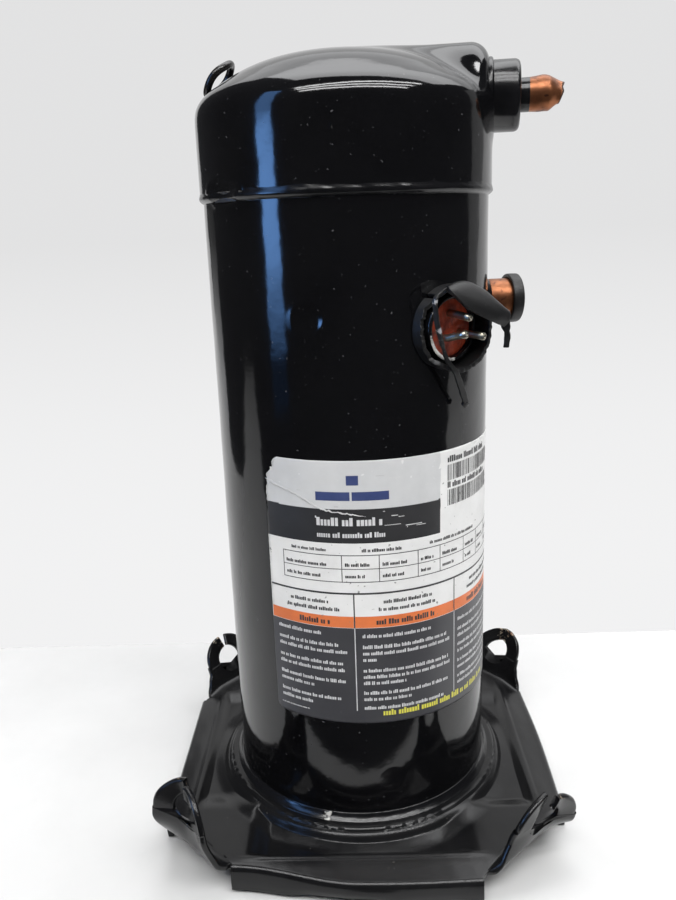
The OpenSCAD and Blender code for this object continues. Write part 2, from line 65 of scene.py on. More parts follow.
def ripple(seed, scale, *coords):
    """Smooth irregular values between about -1 and 1; scale is the length of one wave."""
    r = np.random.default_rng(seed)
    total = 0.0
    for _ in range(7):
        k = r.normal(size=len(coords)) * 2.0 * math.pi / scale
        total = total + np.sin(sum(f * c for f, c in zip(k, coords)) + r.uniform(0, 6.28))
    return total / 4.0


def around(az, r, z):
    """Point or points on a cylinder about the shell axis, az in degrees."""
    a = np.radians(az)
    return np.stack(np.broadcast_arrays(r * np.cos(a), r * np.sin(a), z), -1)


def outward(az, z):
    """Origin, direction out of the shell, sideways direction and up, for a fitting."""
    a = math.radians(az)
    return (
        np.array([0.0, 0.0, z]),
        np.array([math.cos(a), math.sin(a), 0.0]),
        np.array([-math.sin(a), math.cos(a), 0.0]),
        np.array([0.0, 0.0, 1.0]),
    )


def off_axis(az, centre):
    """Signed turn in degrees from a bearing, between -180 and 180."""
    return (az - centre + 180) % 360 - 180


def grid_faces(nu, nv, wrap_u=False, wrap_v=False, start=0):
    u = np.arange(nu if wrap_u else nu - 1)
    v = np.arange(nv if wrap_v else nv - 1)
    U, V = np.meshgrid(u, v, indexing="ij")
    U2, V2 = (U + 1) % nu, (V + 1) % nv
    f = np.stack([U * nv + V, U2 * nv + V, U2 * nv + V2, U * nv + V2], -1).reshape(-1, 4)
    return (f + start).tolist()


def frames_along(path):
    """Unit tangents and two steady normals along a path."""
    path = np.asarray(path, float)
    tangent = np.gradient(path, axis=0)
    tangent /= np.linalg.norm(tangent, axis=1)[:, None]
    normal = np.cross(tangent[0], [0.3, 0.5, 0.81])
    normal /= np.linalg.norm(normal)
    normals = []
    for t in tangent:
        normal = normal - t * (normal @ t)
        normal /= np.linalg.norm(normal)
        normals.append(normal)
    normals = np.array(normals)
    return tangent, normals, np.cross(tangent, normals)


def end_fans(m, n):
    """Faces that close both ends of m rings of n points; the two middle points come after the rings."""
    faces = [[m * n, (k + 1) % n, k] for k in range(n)]
    return faces + [[m * n + 1, (m - 1) * n + k, (m - 1) * n + (k + 1) % n] for k in range(n)]


def spline(points, n):
    """Smooth path through the points."""
    p = np.asarray(points, float)
    p = np.vstack([2 * p[0] - p[1], p, 2 * p[-1] - p[-2]])
    out = []
    for u in np.linspace(0, len(p) - 3 - 1e-9, n):
        i = int(u)
        t = u - i
        a, b, c, d = p[i : i + 4]
        out.append(
            0.5 * (2 * b + (c - a) * t + (2 * a - 5 * b + 4 * c - d) * t * t + (3 * b - a - 3 * c + d) * t**3)
        )
    return np.array(out)


# ---------------------------------------------- finishes
def wire(nt, kind, **inputs):
    """A shader node with some inputs set or linked.

    A key is the input's name with __ for a space, or i and its number; a key that starts with _ is a property.
    """
    n = nt.nodes.new(kind)
    for key, value in inputs.items():
        if key.startswith("_"):
            setattr(n, key[1:], value)
            continue
        numbered = key[0] == "i" and key[1:].isdigit()
        socket = n.inputs[int(key[1:]) if numbered else key.replace("__", " ")]
        if isinstance(value, bpy.types.NodeSocket):
            nt.links.new(value, socket)
        else:
            socket.default_value = value
    return n


def remap(nt, value, a, b, c, d):
    n = wire(nt, "ShaderNodeMapRange", i0=value, i1=a, i2=b, i3=c, i4=d)
    n.clamp = True
    return n.outputs[0]


def blend_colour(nt, factor, a, b):
    n = wire(nt, "ShaderNodeMix", _data_type="RGBA")
    for index, value in ((0, factor), (6, a), (7, b)):
        if isinstance(value, bpy.types.NodeSocket):
            nt.links.new(value, n.inputs[index])
        elif index == 0:
            n.inputs[0].default_value = value
        else:
            n.inputs[index].default_value = (*value, 1.0)
    return n.outputs[2]


def blank(name):
    """A material with an empty node tree."""
    m = bpy.data.materials.new(name)
    m.use_nodes = True
    m.node_tree.nodes.clear()
    return m, m.node_tree


def object_place(nt):
    return wire(nt, "ShaderNodeTexCoord").outputs["Object"]


def noise(nt, coords, scale, detail, rough):
    node = wire(nt, "ShaderNodeTexNoise", Vector=coords, Scale=scale, Detail=detail, Roughness=rough)
    return node.outputs[0]


M = {}


def finish(name, base, second, rough, spread, metallic, scale, fine, bump, lumps=0.0,
           specks=None, speck_scale=900, speck_cut=0.72, worn=None, squeeze=(1.0, 1.0, 1.0), specular=0.5):
    """A finish with patches of two colours, fine grain, uneven gloss, specks, and wear if a mesh carries it."""
    m, nt = blank(name)
    coords = wire(nt, "ShaderNodeMapping", Vector=object_place(nt), Scale=squeeze).outputs[0]
    broad = noise(nt, coords, scale, 6.0, 0.6)
    grain = noise(nt, coords, fine, 4.0, 0.65)
    colour = blend_colour(nt, remap(nt, broad, 0.38, 0.64, 0.0, 1.0), base, second)
    roughness = remap(nt, broad, 0.3, 0.7, max(0.02, rough - spread), rough + spread)
    if specks is not None:
        dots = noise(nt, coords, speck_scale, 2.0, 0.5)
        colour = blend_colour(nt, remap(nt, dots, speck_cut, speck_cut + 0.05, 0.0, 1.0), colour, specks)
    if worn is not None:
        mark = wire(nt, "ShaderNodeAttribute", _attribute_name="wear").outputs["Fac"]
        torn = noise(nt, coords, 420.0, 5.0, 0.7)
        total = wire(nt, "ShaderNodeMath", _operation="ADD", i0=mark, i1=torn).outputs[0]
        mask = remap(nt, total, 1.02, 1.1, 0.0, 1.0)
        rust = noise(nt, coords, 160.0, 4.0, 0.6)
        bare = blend_colour(nt, remap(nt, rust, 0.42, 0.58, 0.0, 1.0), worn[0], worn[1])
        colour = blend_colour(nt, mask, colour, bare)
        roughness = remap(nt, mask, 0.0, 1.0, rough, 0.55)
    shader = wire(nt, "ShaderNodeBsdfPrincipled", Base__Color=colour, Roughness=roughness, Metallic=metallic)
    shader.inputs["Specular IOR Level"].default_value = specular
    surface = wire(nt, "ShaderNodeBump", Height=grain, Strength=bump, Distance=0.0004)
    if lumps:
        swell = noise(nt, coords, 110.0, 2.0, 0.5)
        surface = wire(nt, "ShaderNodeBump", Height=swell, Strength=lumps, Distance=0.0006,
                       Normal=surface.outputs[0])
    nt.links.new(surface.outputs[0], shader.inputs["Normal"])
    wire(nt, "ShaderNodeOutputMaterial", i0=shader.outputs[0])
    M[name] = m


BLACK = (0.0026, 0.0026, 0.0031)
BARE = ((0.42, 0.38, 0.30), (0.16, 0.075, 0.035))
CHIP = ((0.62, 0.61, 0.58), (0.34, 0.33, 0.31))

# Each finish: name, two colours, roughness and its spread, metallic, size of patches and of grain, bump
finish("paint", BLACK, (0.0040, 0.0040, 0.0046), 0.09, 0.04, 0.0, 18, 260, 0.05, lumps=0.10,
       specks=(0.09, 0.09, 0.095), speck_scale=620, speck_cut=0.725, worn=CHIP)
finish("base_paint", (0.0045, 0.0045, 0.005), (0.009, 0.009, 0.0095), 0.22, 0.06, 0.0, 26, 420, 0.10,
       lumps=0.08, specks=(0.06, 0.055, 0.05), speck_scale=700, speck_cut=0.745, worn=BARE, specular=0.36)
finish("weld_paint", BLACK, (0.006, 0.006, 0.007), 0.20, 0.05, 0.0, 60, 400, 0.06, lumps=0.04, worn=CHIP)
finish("eye_paint", (0.004, 0.004, 0.0045), (0.012, 0.010, 0.008), 0.24, 0.08, 0.0, 90, 700, 0.2,
       worn=((0.20, 0.12, 0.07), (0.08, 0.045, 0.03)))
finish("copper", (0.34, 0.130, 0.058), (0.17, 0.064, 0.030), 0.36, 0.08, 0.85, 85, 650, 0.18, lumps=0.2,
       specks=(0.12, 0.045, 0.025), speck_scale=330, speck_cut=0.63)
finish("rubber", (0.006, 0.006, 0.0065), (0.011, 0.011, 0.0115), 0.44, 0.08, 0.0, 70, 1500, 0.25,
       specks=(0.07, 0.065, 0.06), worn=((0.42, 0.42, 0.43), (0.25, 0.25, 0.27)))
finish("sealant", (0.34, 0.050, 0.020), (0.13, 0.018, 0.010), 0.38, 0.1, 0.0, 160, 900, 0.3, lumps=0.5)
finish("cast_iron", (0.16, 0.16, 0.165), (0.11, 0.108, 0.105), 0.55, 0.1, 0.8, 70, 900, 0.35, lumps=0.2)
finish("laminations", (0.24, 0.25, 0.28), (0.16, 0.165, 0.19), 0.42, 0.1, 0.9, 45, 2600, 0.3,
       squeeze=(0.15, 0.15, 1.0))
finish("winding", (0.42, 0.14, 0.045), (0.28, 0.085, 0.03), 0.36, 0.1, 0.4, 120, 2200, 0.6,
       squeeze=(1.0, 1.0, 0.35))
for plain in (
    ("dark_copper", (0.10, 0.045, 0.025), (0.03, 0.018, 0.014), 0.5, 0.1, 0.6, 200, 900, 0.4),
    ("tin", (0.58, 0.55, 0.45), (0.36, 0.34, 0.27), 0.36, 0.08, 1.0, 120, 1500, 0.1),
    ("bare_steel", (0.42, 0.42, 0.43), (0.30, 0.29, 0.29), 0.34, 0.1, 1.0, 60, 1200, 0.15),
    ("aluminium", (0.58, 0.59, 0.6), (0.46, 0.465, 0.475), 0.42, 0.1, 0.9, 80, 1000, 0.2),
    ("bronze", (0.48, 0.28, 0.12), (0.36, 0.2, 0.085), 0.36, 0.1, 0.95, 90, 1200, 0.15),
    ("plastic", (0.62, 0.58, 0.46), (0.55, 0.50, 0.38), 0.45, 0.08, 0.0, 60, 1200, 0.1),
    ("dark_plastic", (0.03, 0.03, 0.032), (0.05, 0.048, 0.045), 0.42, 0.08, 0.0, 60, 1200, 0.15),
    ("wire_cover", (0.04, 0.05, 0.14), (0.025, 0.03, 0.09), 0.45, 0.08, 0.0, 90, 1400, 0.15),
    ("torn_paper", (0.66, 0.66, 0.65), (0.50, 0.50, 0.50), 0.6, 0.1, 0.0, 90, 900, 0.3),
):
    finish(*plain)
# Films of the label: two colours, roughness, size of patches, then colour, size and rarity of the specks
for name, base, second, rough, patch_size, specks, speck_scale, speck_cut in (
    ("label_white", (0.82, 0.82, 0.81), (0.74, 0.74, 0.73), 0.34, 40, (0.30, 0.30, 0.29), 420, 0.70),
    ("label_dark", (0.028, 0.028, 0.030), (0.036, 0.036, 0.038), 0.36, 35, (0.2, 0.2, 0.2), 520, 0.745),
    ("label_grey", (0.050, 0.050, 0.056), (0.060, 0.060, 0.066), 0.36, 30, (0.16, 0.16, 0.16), 520, 0.745),
    ("label_orange", (0.80, 0.20, 0.055), (0.68, 0.165, 0.045), 0.36, 60, (0.3, 0.2, 0.15), 420, 0.70),
):
    finish(name, base, second, rough, 0.06, 0.0, patch_size, 900, 0.05,
           specks=specks, speck_scale=speck_scale, speck_cut=speck_cut)
finish("label_silver", (0.62, 0.625, 0.63), (0.55, 0.555, 0.56), 0.40, 0.05, 0.0, 35, 900, 0.04,
       specks=(0.72, 0.72, 0.72), speck_scale=380, speck_cut=0.72)
for name, base, second in (("print_light", (0.66, 0.66, 0.67), (0.54, 0.54, 0.55)),
                           ("print_dark", (0.035, 0.035, 0.037), (0.06, 0.06, 0.062)),
                           ("print_blue", (0.035, 0.055, 0.17), (0.05, 0.07, 0.20)),
                           ("print_yellow", (0.72, 0.68, 0.08), (0.62, 0.58, 0.07))):
    finish(name, base, second, 0.4, 0.05, 0.0, 90, 900, 0.03)


# ---------------------------------------------- pieces
def linked(name, data):
    """A new object, put in the scene."""
    obj = bpy.data.objects.new(name, data)
    bpy.context.scene.collection.objects.link(obj)
    return obj


def piece(name, verts, faces, mats, slot, body="casing", nodes=(), face_mats=None, wear=None, smooth=True):
    mesh = bpy.data.meshes.new(name)
    mesh.from_pydata((np.asarray(verts, float) * 0.001).tolist(), [], faces)
    for m in mats:
        mesh.materials.append(M[m])
    if face_mats is not None:
        mesh.polygons.foreach_set("material_index", np.asarray(face_mats, np.int32))
    mesh.polygons.foreach_set("use_smooth", np.full(len(mesh.polygons), smooth))
    if wear is not None:
        mark = mesh.attributes.new("wear", "FLOAT", "POINT")
        mark.data.foreach_set("value", np.asarray(wear, np.float32).ravel())
    mesh.update()
    obj = linked(name, mesh)
    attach(obj, body)
    if nodes:
        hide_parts(*nodes)
    return obj


def ring_piece(name, points, mats, slot, **more):
    """A piece from a grid of points that closes on itself both ways."""
    faces = grid_faces(points.shape[0], points.shape[1], True, True)
    return piece(name, points.reshape(-1, 3), faces, mats, slot, **more)


def lathe(az, z, profile, n=96, warp=None):
    """Points turned about the outward axis; profile rows are (radius, distance from the shell axis)."""
    origin, out, side, up = outward(az, z)
    profile = np.asarray(profile, float)
    a = np.linspace(0, 2 * math.pi, n, endpoint=False)
    A, R = np.meshgrid(a, profile[:, 0], indexing="ij")
    X = np.broadcast_to(profile[:, 1], A.shape).copy()
    if warp is not None:
        R, X = warp(A, R, X)
    return origin + X[..., None] * out + (R * np.sin(A))[..., None] * side + (R * np.cos(A))[..., None] * up


def rounded(points, radius=0.5, n=4):
    """A profile with its inner corners rounded."""
    p = [np.array(q, float) for q in points]
    out = [p[0]]
    for a, b, c in zip(p, p[1:], p[2:]):
        u, v = a - b, c - b
        lu, lv = np.linalg.norm(u), np.linalg.norm(v)
        k = min(radius, 0.45 * lu, 0.45 * lv)
        s, e = b + u / lu * k, b + v / lv * k
        for t in np.linspace(0, 1, n):
            out.append((1 - t) ** 2 * s + 2 * t * (1 - t) * b + t * t * e)
    out.append(p[-1])
    return out


def tube(path, radius, n=20):
    """Swept round bar with closed ends."""
    path = np.asarray(path, float)
    radius = np.broadcast_to(radius, (len(path),))
    _, N, B = frames_along(path)
    a = np.linspace(0, 2 * math.pi, n, endpoint=False)
    circle, lift = np.cos(a)[:, None], np.sin(a)[:, None]
    rings = [path[i] + radius[i] * (circle * N[i] + lift * B[i]) for i in range(len(path))]
    verts = np.concatenate(rings + [path[:1], path[-1:]])
    m = len(path)
    return verts, grid_faces(m, n, wrap_v=True) + end_fans(m, n)


def thick(obj, mm, bevel):
    """Give a surface an even thickness and round its edges."""
    s = obj.modifiers.new("thickness", "SOLIDIFY")
    s.thickness = mm * 0.001
    s.offset = 0.0
    s.use_even_offset = True
    b = obj.modifiers.new("edges", "BEVEL")
    b.width = bevel * 0.001
    b.segments = 2
    b.limit_method = "ANGLE"
    b.angle_limit = math.radians(50)
    return obj


# Directions of the points round the long edges of a slab
EDGE_TURNS = (60, 30, 0, -30, -60)


def slab(grid, mm):
    """A sheet of even thickness with rounded long edges, from a grid of points on its middle surface."""
    grid = np.asarray(grid, float)
    du, dv = np.gradient(grid, axis=0), np.gradient(grid, axis=1)
    n = np.cross(du, dv)
    n /= np.maximum(np.linalg.norm(n, axis=-1), 1e-9)[..., None]
    half = 0.5 * mm
    ends = []
    for k, sign in ((-1, 1.0), (0, -1.0)):
        out = dv[:, k] * sign
        out /= np.maximum(np.linalg.norm(out, axis=-1), 1e-9)[:, None]
        turns = np.radians(EDGE_TURNS) * sign
        ends.append([grid[:, k] + out * (0.75 * math.cos(t)) + n[:, k] * (half * math.sin(t)) for t in turns])
    top = [grid[:, j] + n[:, j] * half for j in range(grid.shape[1])]
    under = [grid[:, j] - n[:, j] * half for j in range(grid.shape[1] - 1, -1, -1)]
    rings = np.stack(top + ends[0] + under + ends[1], axis=1)
    nu, ns = rings.shape[:2]
    verts = np.concatenate([rings.reshape(-1, 3), rings[:1].mean(1), rings[-1:].mean(1)])
    return verts, grid_faces(nu, ns, wrap_v=True) + end_fans(nu, ns)


def slab_marks(marks):
    """Wear values laid out like the points of a slab."""
    last, first = marks[:, -1:], marks[:, :1]
    k = len(EDGE_TURNS)
    rings = np.concatenate([marks] + [last] * k + [marks[:, ::-1]] + [first] * k, axis=1)
    return np.concatenate([rings.ravel(), [marks[0].mean(), marks[-1].mean()]])


# Places where the skin is pressed in: bearing, height, half width, depth, and height of the lip around
PITS = [(-105 + 90 * k, 275.0, 6.9, 1.3, 0.14) for k in range(4)]
PITS += [(-78 + 90 * k, 42.0, 6.9, 0.22, 0.03) for k in range(4)]


def skin(az, z, r=SHELL_R):
    """Radius of the painted skin: slight waves, stake marks, and the dent at the seam."""
    s = np.radians(az) * SHELL_R
    d = 0.10 * ripple(3, 90.0, s, z) + 0.035 * ripple(4, 34.0, s, z)
    for pit_az, pit_z, half, depth, lip in PITS:
        q = np.hypot(np.radians(off_axis(az, pit_az)) * SHELL_R, z - pit_z) / half
        d = d - depth * np.where(q < 1, 1 - q * q, 0) + lip * bell(q - 1.12, 0.2)
    q = np.hypot(off_axis(az, DENT_AZ) / 10.5, (z - DENT_Z) / 6.0)
    d = d - 1.6 * np.where(q < 1, 1 - q * q, 0) + 0.40 * bell(q - 1.1, 0.16)
    return r + d


# Shell tube, with its real wall
az = np.linspace(-180, 180, 480, endpoint=False)
rows = np.concatenate([np.linspace(TUBE_BOTTOM, 60, 34), np.linspace(63, 262, 72), np.linspace(264, 288, 24),
                       np.linspace(290, TUBE_TOP, 36)])
A, Z = np.meshgrid(az, rows, indexing="ij")
outer = around(A, skin(A, Z), Z)
Ai, Zi = np.meshgrid(az, np.linspace(TUBE_TOP, TUBE_BOTTOM, 8), indexing="ij")
P = np.concatenate([outer, around(Ai, TUBE_IN_R, Zi)], axis=1)
# Two chips in the paint, each by its distance round the shell and its height
s = np.radians(A) * SHELL_R
chip_high = np.hypot(s + 66.5, Z - 263.0)
chip_low = np.hypot((s + 62) / 2.0, Z - 36)
wear = np.zeros(P.shape[:2])
wear[:, : len(rows)] = 0.50 * bell(chip_high, 1.6) + 0.46 * bell(chip_low, 1.4)
ring_piece("shell_tube", P, ["paint"], "black_paint", nodes=["center_shell"], wear=wear)

# Domed cap: a shallow dome on a tight knuckle, blended into the nose that carries the discharge fitting
profile = np.array([(CAP_R, 300.0), (CAP_R, 361.0), (71.35, 364.5), (70.6, 368.0), (69.0, 371.0),
                    (66.6, 373.6), (63.0, 376.2), (58.9, 378.8), (53.5, 382.0), (47.8, 384.8), (41.0, 387.4),
                    (33.0, 389.6), (24.0, 391.3), (12.0, 392.4), (0.0, 392.8)])
profile = np.vstack([profile[:1], spline(profile[1:], 60)])
nose_out = outward(DISCHARGE_AZ, 371.5)


def side_of_profile(r, z):
    """Signed distance to the dome's outline, negative inside."""
    best = np.full(r.shape, 1e9)
    sign = np.ones(r.shape)
    for (r0, z0), (r1, z1) in zip(profile[:-1], profile[1:]):
        e = np.array([r1 - r0, z1 - z0])
        t = np.clip(((r - r0) * e[0] + (z - z0) * e[1]) / (e @ e), 0, 1)
        d = np.hypot(r - r0 - t * e[0], z - z0 - t * e[1])
        cross = e[0] * (z - z0) - e[1] * (r - r0)
        closer = d < best
        sign = np.where(closer, np.sign(cross), sign)
        best = np.where(closer, d, best)
    return -best * sign


def side_of_nose(p):
    """Signed distance to the nose, a round bar with rounded ends along the discharge fitting's axis."""
    o, out, side, up = nose_out
    q = p - o
    x, t, h = q @ out, q @ side, q @ up
    e, r, middle = 9.0, 22.4, 34.8
    d = np.stack([np.hypot(t, h) - (r - e), np.abs(x - middle) - (middle - e)], -1)
    return np.minimum(np.max(d, -1), 0) + np.linalg.norm(np.maximum(d, 0), axis=-1) - e


def cap_side(p):
    """Signed distance to the dome and the nose, joined by a soft fillet."""
    a = side_of_profile(np.hypot(p[..., 0], p[..., 1]), p[..., 2])
    b = side_of_nose(p)
    k = 7.0
    h = np.clip(0.5 + 0.5 * (b - a) / k, 0, 1)
    return b * (1 - h) + a * h - k * h * (1 - h)


# Rays from a point inside the cap find its skin
centre = np.array([0.0, 0.0, 345.0])
rise = np.concatenate([np.linspace(-12.2, 10, 26), np.linspace(11, 60, 96), np.linspace(62, 89.6, 22)])
A, E = np.meshgrid(np.radians(az), np.radians(rise), indexing="ij")
ray = np.stack([np.cos(A) * np.cos(E), np.sin(A) * np.cos(E), np.sin(E)], -1)
low, high = np.full(A.shape, 5.0), np.full(A.shape, 110.0)
for _ in range(22):
    mid = 0.5 * (low + high)
    inside = cap_side(centre + ray * mid[..., None]) < 0
    low, high = np.where(inside, mid, low), np.where(inside, high, mid)
reach = 0.5 * (low + high)
zz = (centre + ray * reach[..., None])[..., 2]
aa = np.degrees(A)
reach = reach + skin(aa, zz, 0.0) * step(372, 358, zz)
# A knock in the front of the cap, with its raised lip
s = np.radians(aa) * CAP_R
scar = np.hypot((s + 119.0) / 2.4, (zz - 353.0) / 6.0)
lip = np.hypot(s + 115.5, (zz - 351.0) / 1.6) - 2.2
reach = reach - 0.7 * bell(scar, 0.8) + 0.35 * bell(lip, 0.9) * (scar < 2.5)
outer = centre + ray * reach[..., None]
wear = 0.60 * bell(np.hypot((s + 117.3) / 0.9, (zz - 352.5) / 3.0), 1.0)
wear = wear + 0.30 * bell(np.hypot((s + 20) / 14, zz - 331), 1.0)
hollow = centre + ray[:, ::12] * (reach[:, ::12] - 3.2)[..., None]
P = np.concatenate([outer[:, ::-1], hollow], axis=1)
W = np.concatenate([wear[:, ::-1], np.zeros(hollow.shape[:2])], axis=1)
verts = np.vstack([P.reshape(-1, 3), outer[:, -1].mean(0), hollow[:, -1].mean(0)])
faces = grid_faces(len(az), P.shape[1], True)
n, m = P.shape[:2]
top, under = n * m, n * m + 1
faces += [[top, ((k + 1) % n) * m, k * m] for k in range(n)]
faces += [[under, k * m + m - 1, ((k + 1) % n) * m + m - 1] for k in range(n)]
faces = [f[::-1] for f in faces]
piece("domed_cap", verts, faces, ["paint"], "black_paint", nodes=["top_cap"],
      wear=np.append(W.ravel(), [0, 0]))


# Welds
def bead(name, section, nodes, seed, rough, pitch):
    """Ring of weld with the ripples of its passes; section rows are (radius, height)."""
    section = np.array(rounded(section, 0.9), float)
    a = np.linspace(-180, 180, 720, endpoint=False)
    A, R = np.meshgrid(a, section[:, 0], indexing="ij")
    _, Z = np.meshgrid(a, section[:, 1], indexing="ij")
    s = np.radians(A) * 71
    lump = rough * (ripple(seed, pitch, s, Z * 2) + 0.8 * ripple(seed + 1, 26.0, s))
    keep = (R > section[:, 0].min() + 0.4).astype(float)
    R = R + lump * keep
    # The dent at the seam takes the upper weld in with it
    R = R - 1.9 * np.clip(1 - (off_axis(A, DENT_AZ) / 9.0) ** 2, 0, 1) * keep * (Z > 200)
    # The lower weld has one bare spot at the front
    wear = 0.60 * bell((A + 105.5) / 3.6, 1.0) * (Z < 23) * (Z > 19.4) + 0.05 * ripple(seed + 5, 40.0, s)
    P = around(A, R, Z + 0.5 * lump)
    return ring_piece(name, P, ["weld_paint"], "black_paint", nodes=nodes, wear=wear)


bead("seam_bead", [(69.6, 325.8), (70.3, 326.2), (71.2, 326.8), (72.0, 327.7), (72.05, 328.8),
                   (71.6, 330.2), (71.3, 331.6), (71.2, 332.9), (69.6, 332.9)], ["seam_weld"], 21, 0.04, 11.0)
bead("base_bead", [(69.4, 18.6), (73.6, 18.6), (73.6, 19.6), (72.6, 20.3), (71.5, 21.4), (70.8, 22.5),
                   (70.2, 23.2), (69.4, 22.4)], ["base_weld"], 31, 0.03, 10.0)


# ---------------------------------------------- discharge fitting and stub
collar = rounded([(13.0, 68.6), (17.3, 68.6), (17.3, 70.9), (15.7, 71.4), (15.9, 72.8)], 1.0, 5)
shoulder = rounded([(15.9, 76.0), (15.9, 83.7), (9.0, 83.7)], 4.4, 9)
profile = collar[:14] + shoulder[1:-1] + [(7.6, 83.7), (7.6, 80.6), (13.0, 80.6)]


def uneven_cup(A, R, X):
    return R + 0.10 * ripple(41, 14.0, R * np.cos(A), R * np.sin(A), X), X


P = lathe(DISCHARGE_AZ, DISCHARGE_Z, profile, 128, uneven_cup)
a = np.linspace(0, 2 * math.pi, 128, endpoint=False)[:, None]
distance_out = P @ outward(DISCHARGE_AZ, 0)[1]
wear = 0.50 * bell((a - 0.75) / 0.22, 1.0) * bell((distance_out - 81.5) / 1.6, 1.0)
ring_piece("discharge_cup", P, ["weld_paint"], "black_paint", nodes=["discharge_fitting"], wear=wear)

# Copper stub, crushed shut at its end when the system was cut out
stations = np.concatenate([[80.6, 83.7, 85.0, 87.0], np.linspace(88.0, 103.6, 40)])


def crushed(A, R, X):
    """Outer skin of the stub: a slight swelling, then a slanted, ragged, flattened end."""
    upper = np.cos(A)
    ragged = 0.3 * np.sin(3 * A + 1.0) - 1.8 * step(0.2, -1.0, upper) + 0.25 * ripple(52, 1.6, A)
    X2 = np.where(X > 96, X + (X - 96) / 7.6 * ragged, X)
    swell = 0.75 * bell((X - 94.0) / 4.0, 1.0) * (0.6 + 0.4 * upper)
    close = step(96.5, 104.4, X)
    flat = 1 - 0.45 * close * np.abs(np.sin(A - 0.5)) ** 1.5
    R2 = (R + swell) * flat * (1 - 0.30 * close) + 0.12 * ripple(51, 9.0, X, A * 5) * step(89, 93, X)
    return R2, X2


outer_rows = [(7.55 if x < 88 else 7.5, x) for x in stations]
end_rows = [(6.2, 103.5), (4.2, 102.6), (2.0, 101.2), (0.3, 100.6)]
inner_rows = [(0.3, 99.6), (3.0, 99.4), (5.6, 97.0), (6.4, 94.0), (6.4, 80.6)]
rows = outer_rows + end_rows + inner_rows
P = lathe(DISCHARGE_AZ, DISCHARGE_Z, rows, 96, crushed)
# Painted where it leaves the cup, then bare copper, then the dark crushed end
col = np.tile(np.arange(len(rows)), 96)
mats = np.where(col < 4, 0, np.where(col < len(outer_rows) - 3, 1, 2))
ring_piece("crushed_discharge_stub", P, ["weld_paint", "copper", "dark_copper"], "copper",
           nodes=["discharge_stub"], face_mats=mats)

# ---------------------------------------------- suction stub, its brazed collar and rubber cap
def waver(seed, amount, size, turns):
    """A warp that makes a turned surface slightly uneven."""
    return lambda A, R, X: (R + amount * ripple(seed, size, X, A * turns), X)


def saddle(A, R, X):
    """The braze runs a little further along the sides of the tube."""
    return R + 0.16 * ripple(62, 6.0, X, A * 12), X - 0.5 * (R / 12) * np.sin(A) ** 2 * 1.2


rows = [(9.6, 65.4), (10.4, 65.4)] + [(10.4, x) for x in np.linspace(68, 86.7, 12)]
rows += [(10.2, 87.0), (9.8, 87.0), (9.6, 86.7), (9.6, 76.0)]
P = lathe(SUCTION_AZ, SUCTION_Z, rows, 112, waver(61, 0.05, 9.0, 10))
ring_piece("suction_tube", P, ["copper"], "copper", nodes=["suction_stub"])
rows = [(10.4, 67.5), (14.4, 68.2), (13.6, 70.6), (12.6, 71.8), (11.6, 73.0), (10.9, 73.8), (10.4, 73.9)]
P = lathe(SUCTION_AZ, SUCTION_Z, rows, 96, saddle)
ring_piece("suction_braze", P, ["weld_paint"], "black_paint", nodes=["suction_collar"])
rim = [(10.7, 87.0), (10.7, 84.6), (12.6, 84.6), (12.75, 87.2), (12.6, 90.4), (5.0, 90.4), (4.2, 89.2),
       (0.01, 89.2)]
P = lathe(SUCTION_AZ, SUCTION_Z, [(0.01, 87.3), (10.7, 87.3)] + rounded(rim, 0.7, 4), 112,
          lambda A, R, X: (R + 0.06 * ripple(63, 11.0, X, A * 12) * (R > 10), X))
ring_piece("rubber_pipe_cap", P, ["rubber"], "rubber", body="plug", nodes=["suction_plug"])

# ---------------------------------------------- lifting eye
lean, turn = math.radians(-48.0), math.radians(-10.0)
rot = np.array(Matrix.Rotation(turn, 3, "Z") @ Matrix.Rotation(lean, 3, "Y"))
t = np.radians(np.linspace(-158, 158, 60))
ring = np.stack([8.9 * np.cos(t) * (1 + 0.05 * np.sin(2 * t)), 8.6 * np.sin(t), 0.35 * np.sin(3 * t)], -1)
left = [ring[0] + np.array([0.5, 1.6, -2.0]), ring[0] + np.array([2.0, 1.2, -8.0])]
right = [ring[-1] + np.array([0.5, -1.6, -2.4]), ring[-1] + np.array([2.0, -1.2, -8.0])]
first_leg = spline([left[1], left[0], ring[0]], 12)[:-1]
last_leg = spline([ring[-1], right[0], right[1]], 12)[1:]
path = np.vstack([first_leg, ring, last_leg]) @ rot.T + np.array([-59.5, 3.0, 384.0])
verts, faces = tube(path, 1.8, 24)
wear = 0.52 * step(388.5, 392.5, verts[:, 2]) * (0.7 + 0.3 * ripple(71, 7.0, verts[:, 0], verts[:, 1]))
piece("lifting_loop", verts, faces, ["eye_paint"], "black_paint", nodes=["lifting_eye"], wear=wear)


# ---------------------------------------------- rating label
def label_point(az, z, lift=0.0):
    """The label sits slightly askew on the shell."""
    az, z = np.asarray(az, float), np.asarray(z, float)
    low = (211.0 - z) / 134.0
    shift = -1.2 * (az + 121) / 102 * (1 - low) - 4.2 * (az + 121) / 87 * low
    z2 = z + np.where(az > -34, -1.2 * (1 - low) - 4.2 * low, shift)
    return around(az, skin(az, z2, SHELL_R + 0.14 + lift), z2)


def patch(rects, lift, step_az=1.5):
    """Thin printed areas that follow the shell; each is (from, to, bottom, top)."""
    verts, faces = [], []
    for a0, a1, z0, z1 in rects:
        n = max(2, int(math.ceil(abs(a1 - a0) / step_az)) + 1)
        m = max(2, int(math.ceil(abs(z1 - z0) / 6.0)) + 1)
        A, Z = np.meshgrid(np.linspace(a0, a1, n), np.linspace(z0, z1, m), indexing="ij")
        faces += grid_faces(n, m, start=len(verts))
        verts.extend(label_point(A, Z, lift).reshape(-1, 3).tolist())
    return np.array(verts), faces


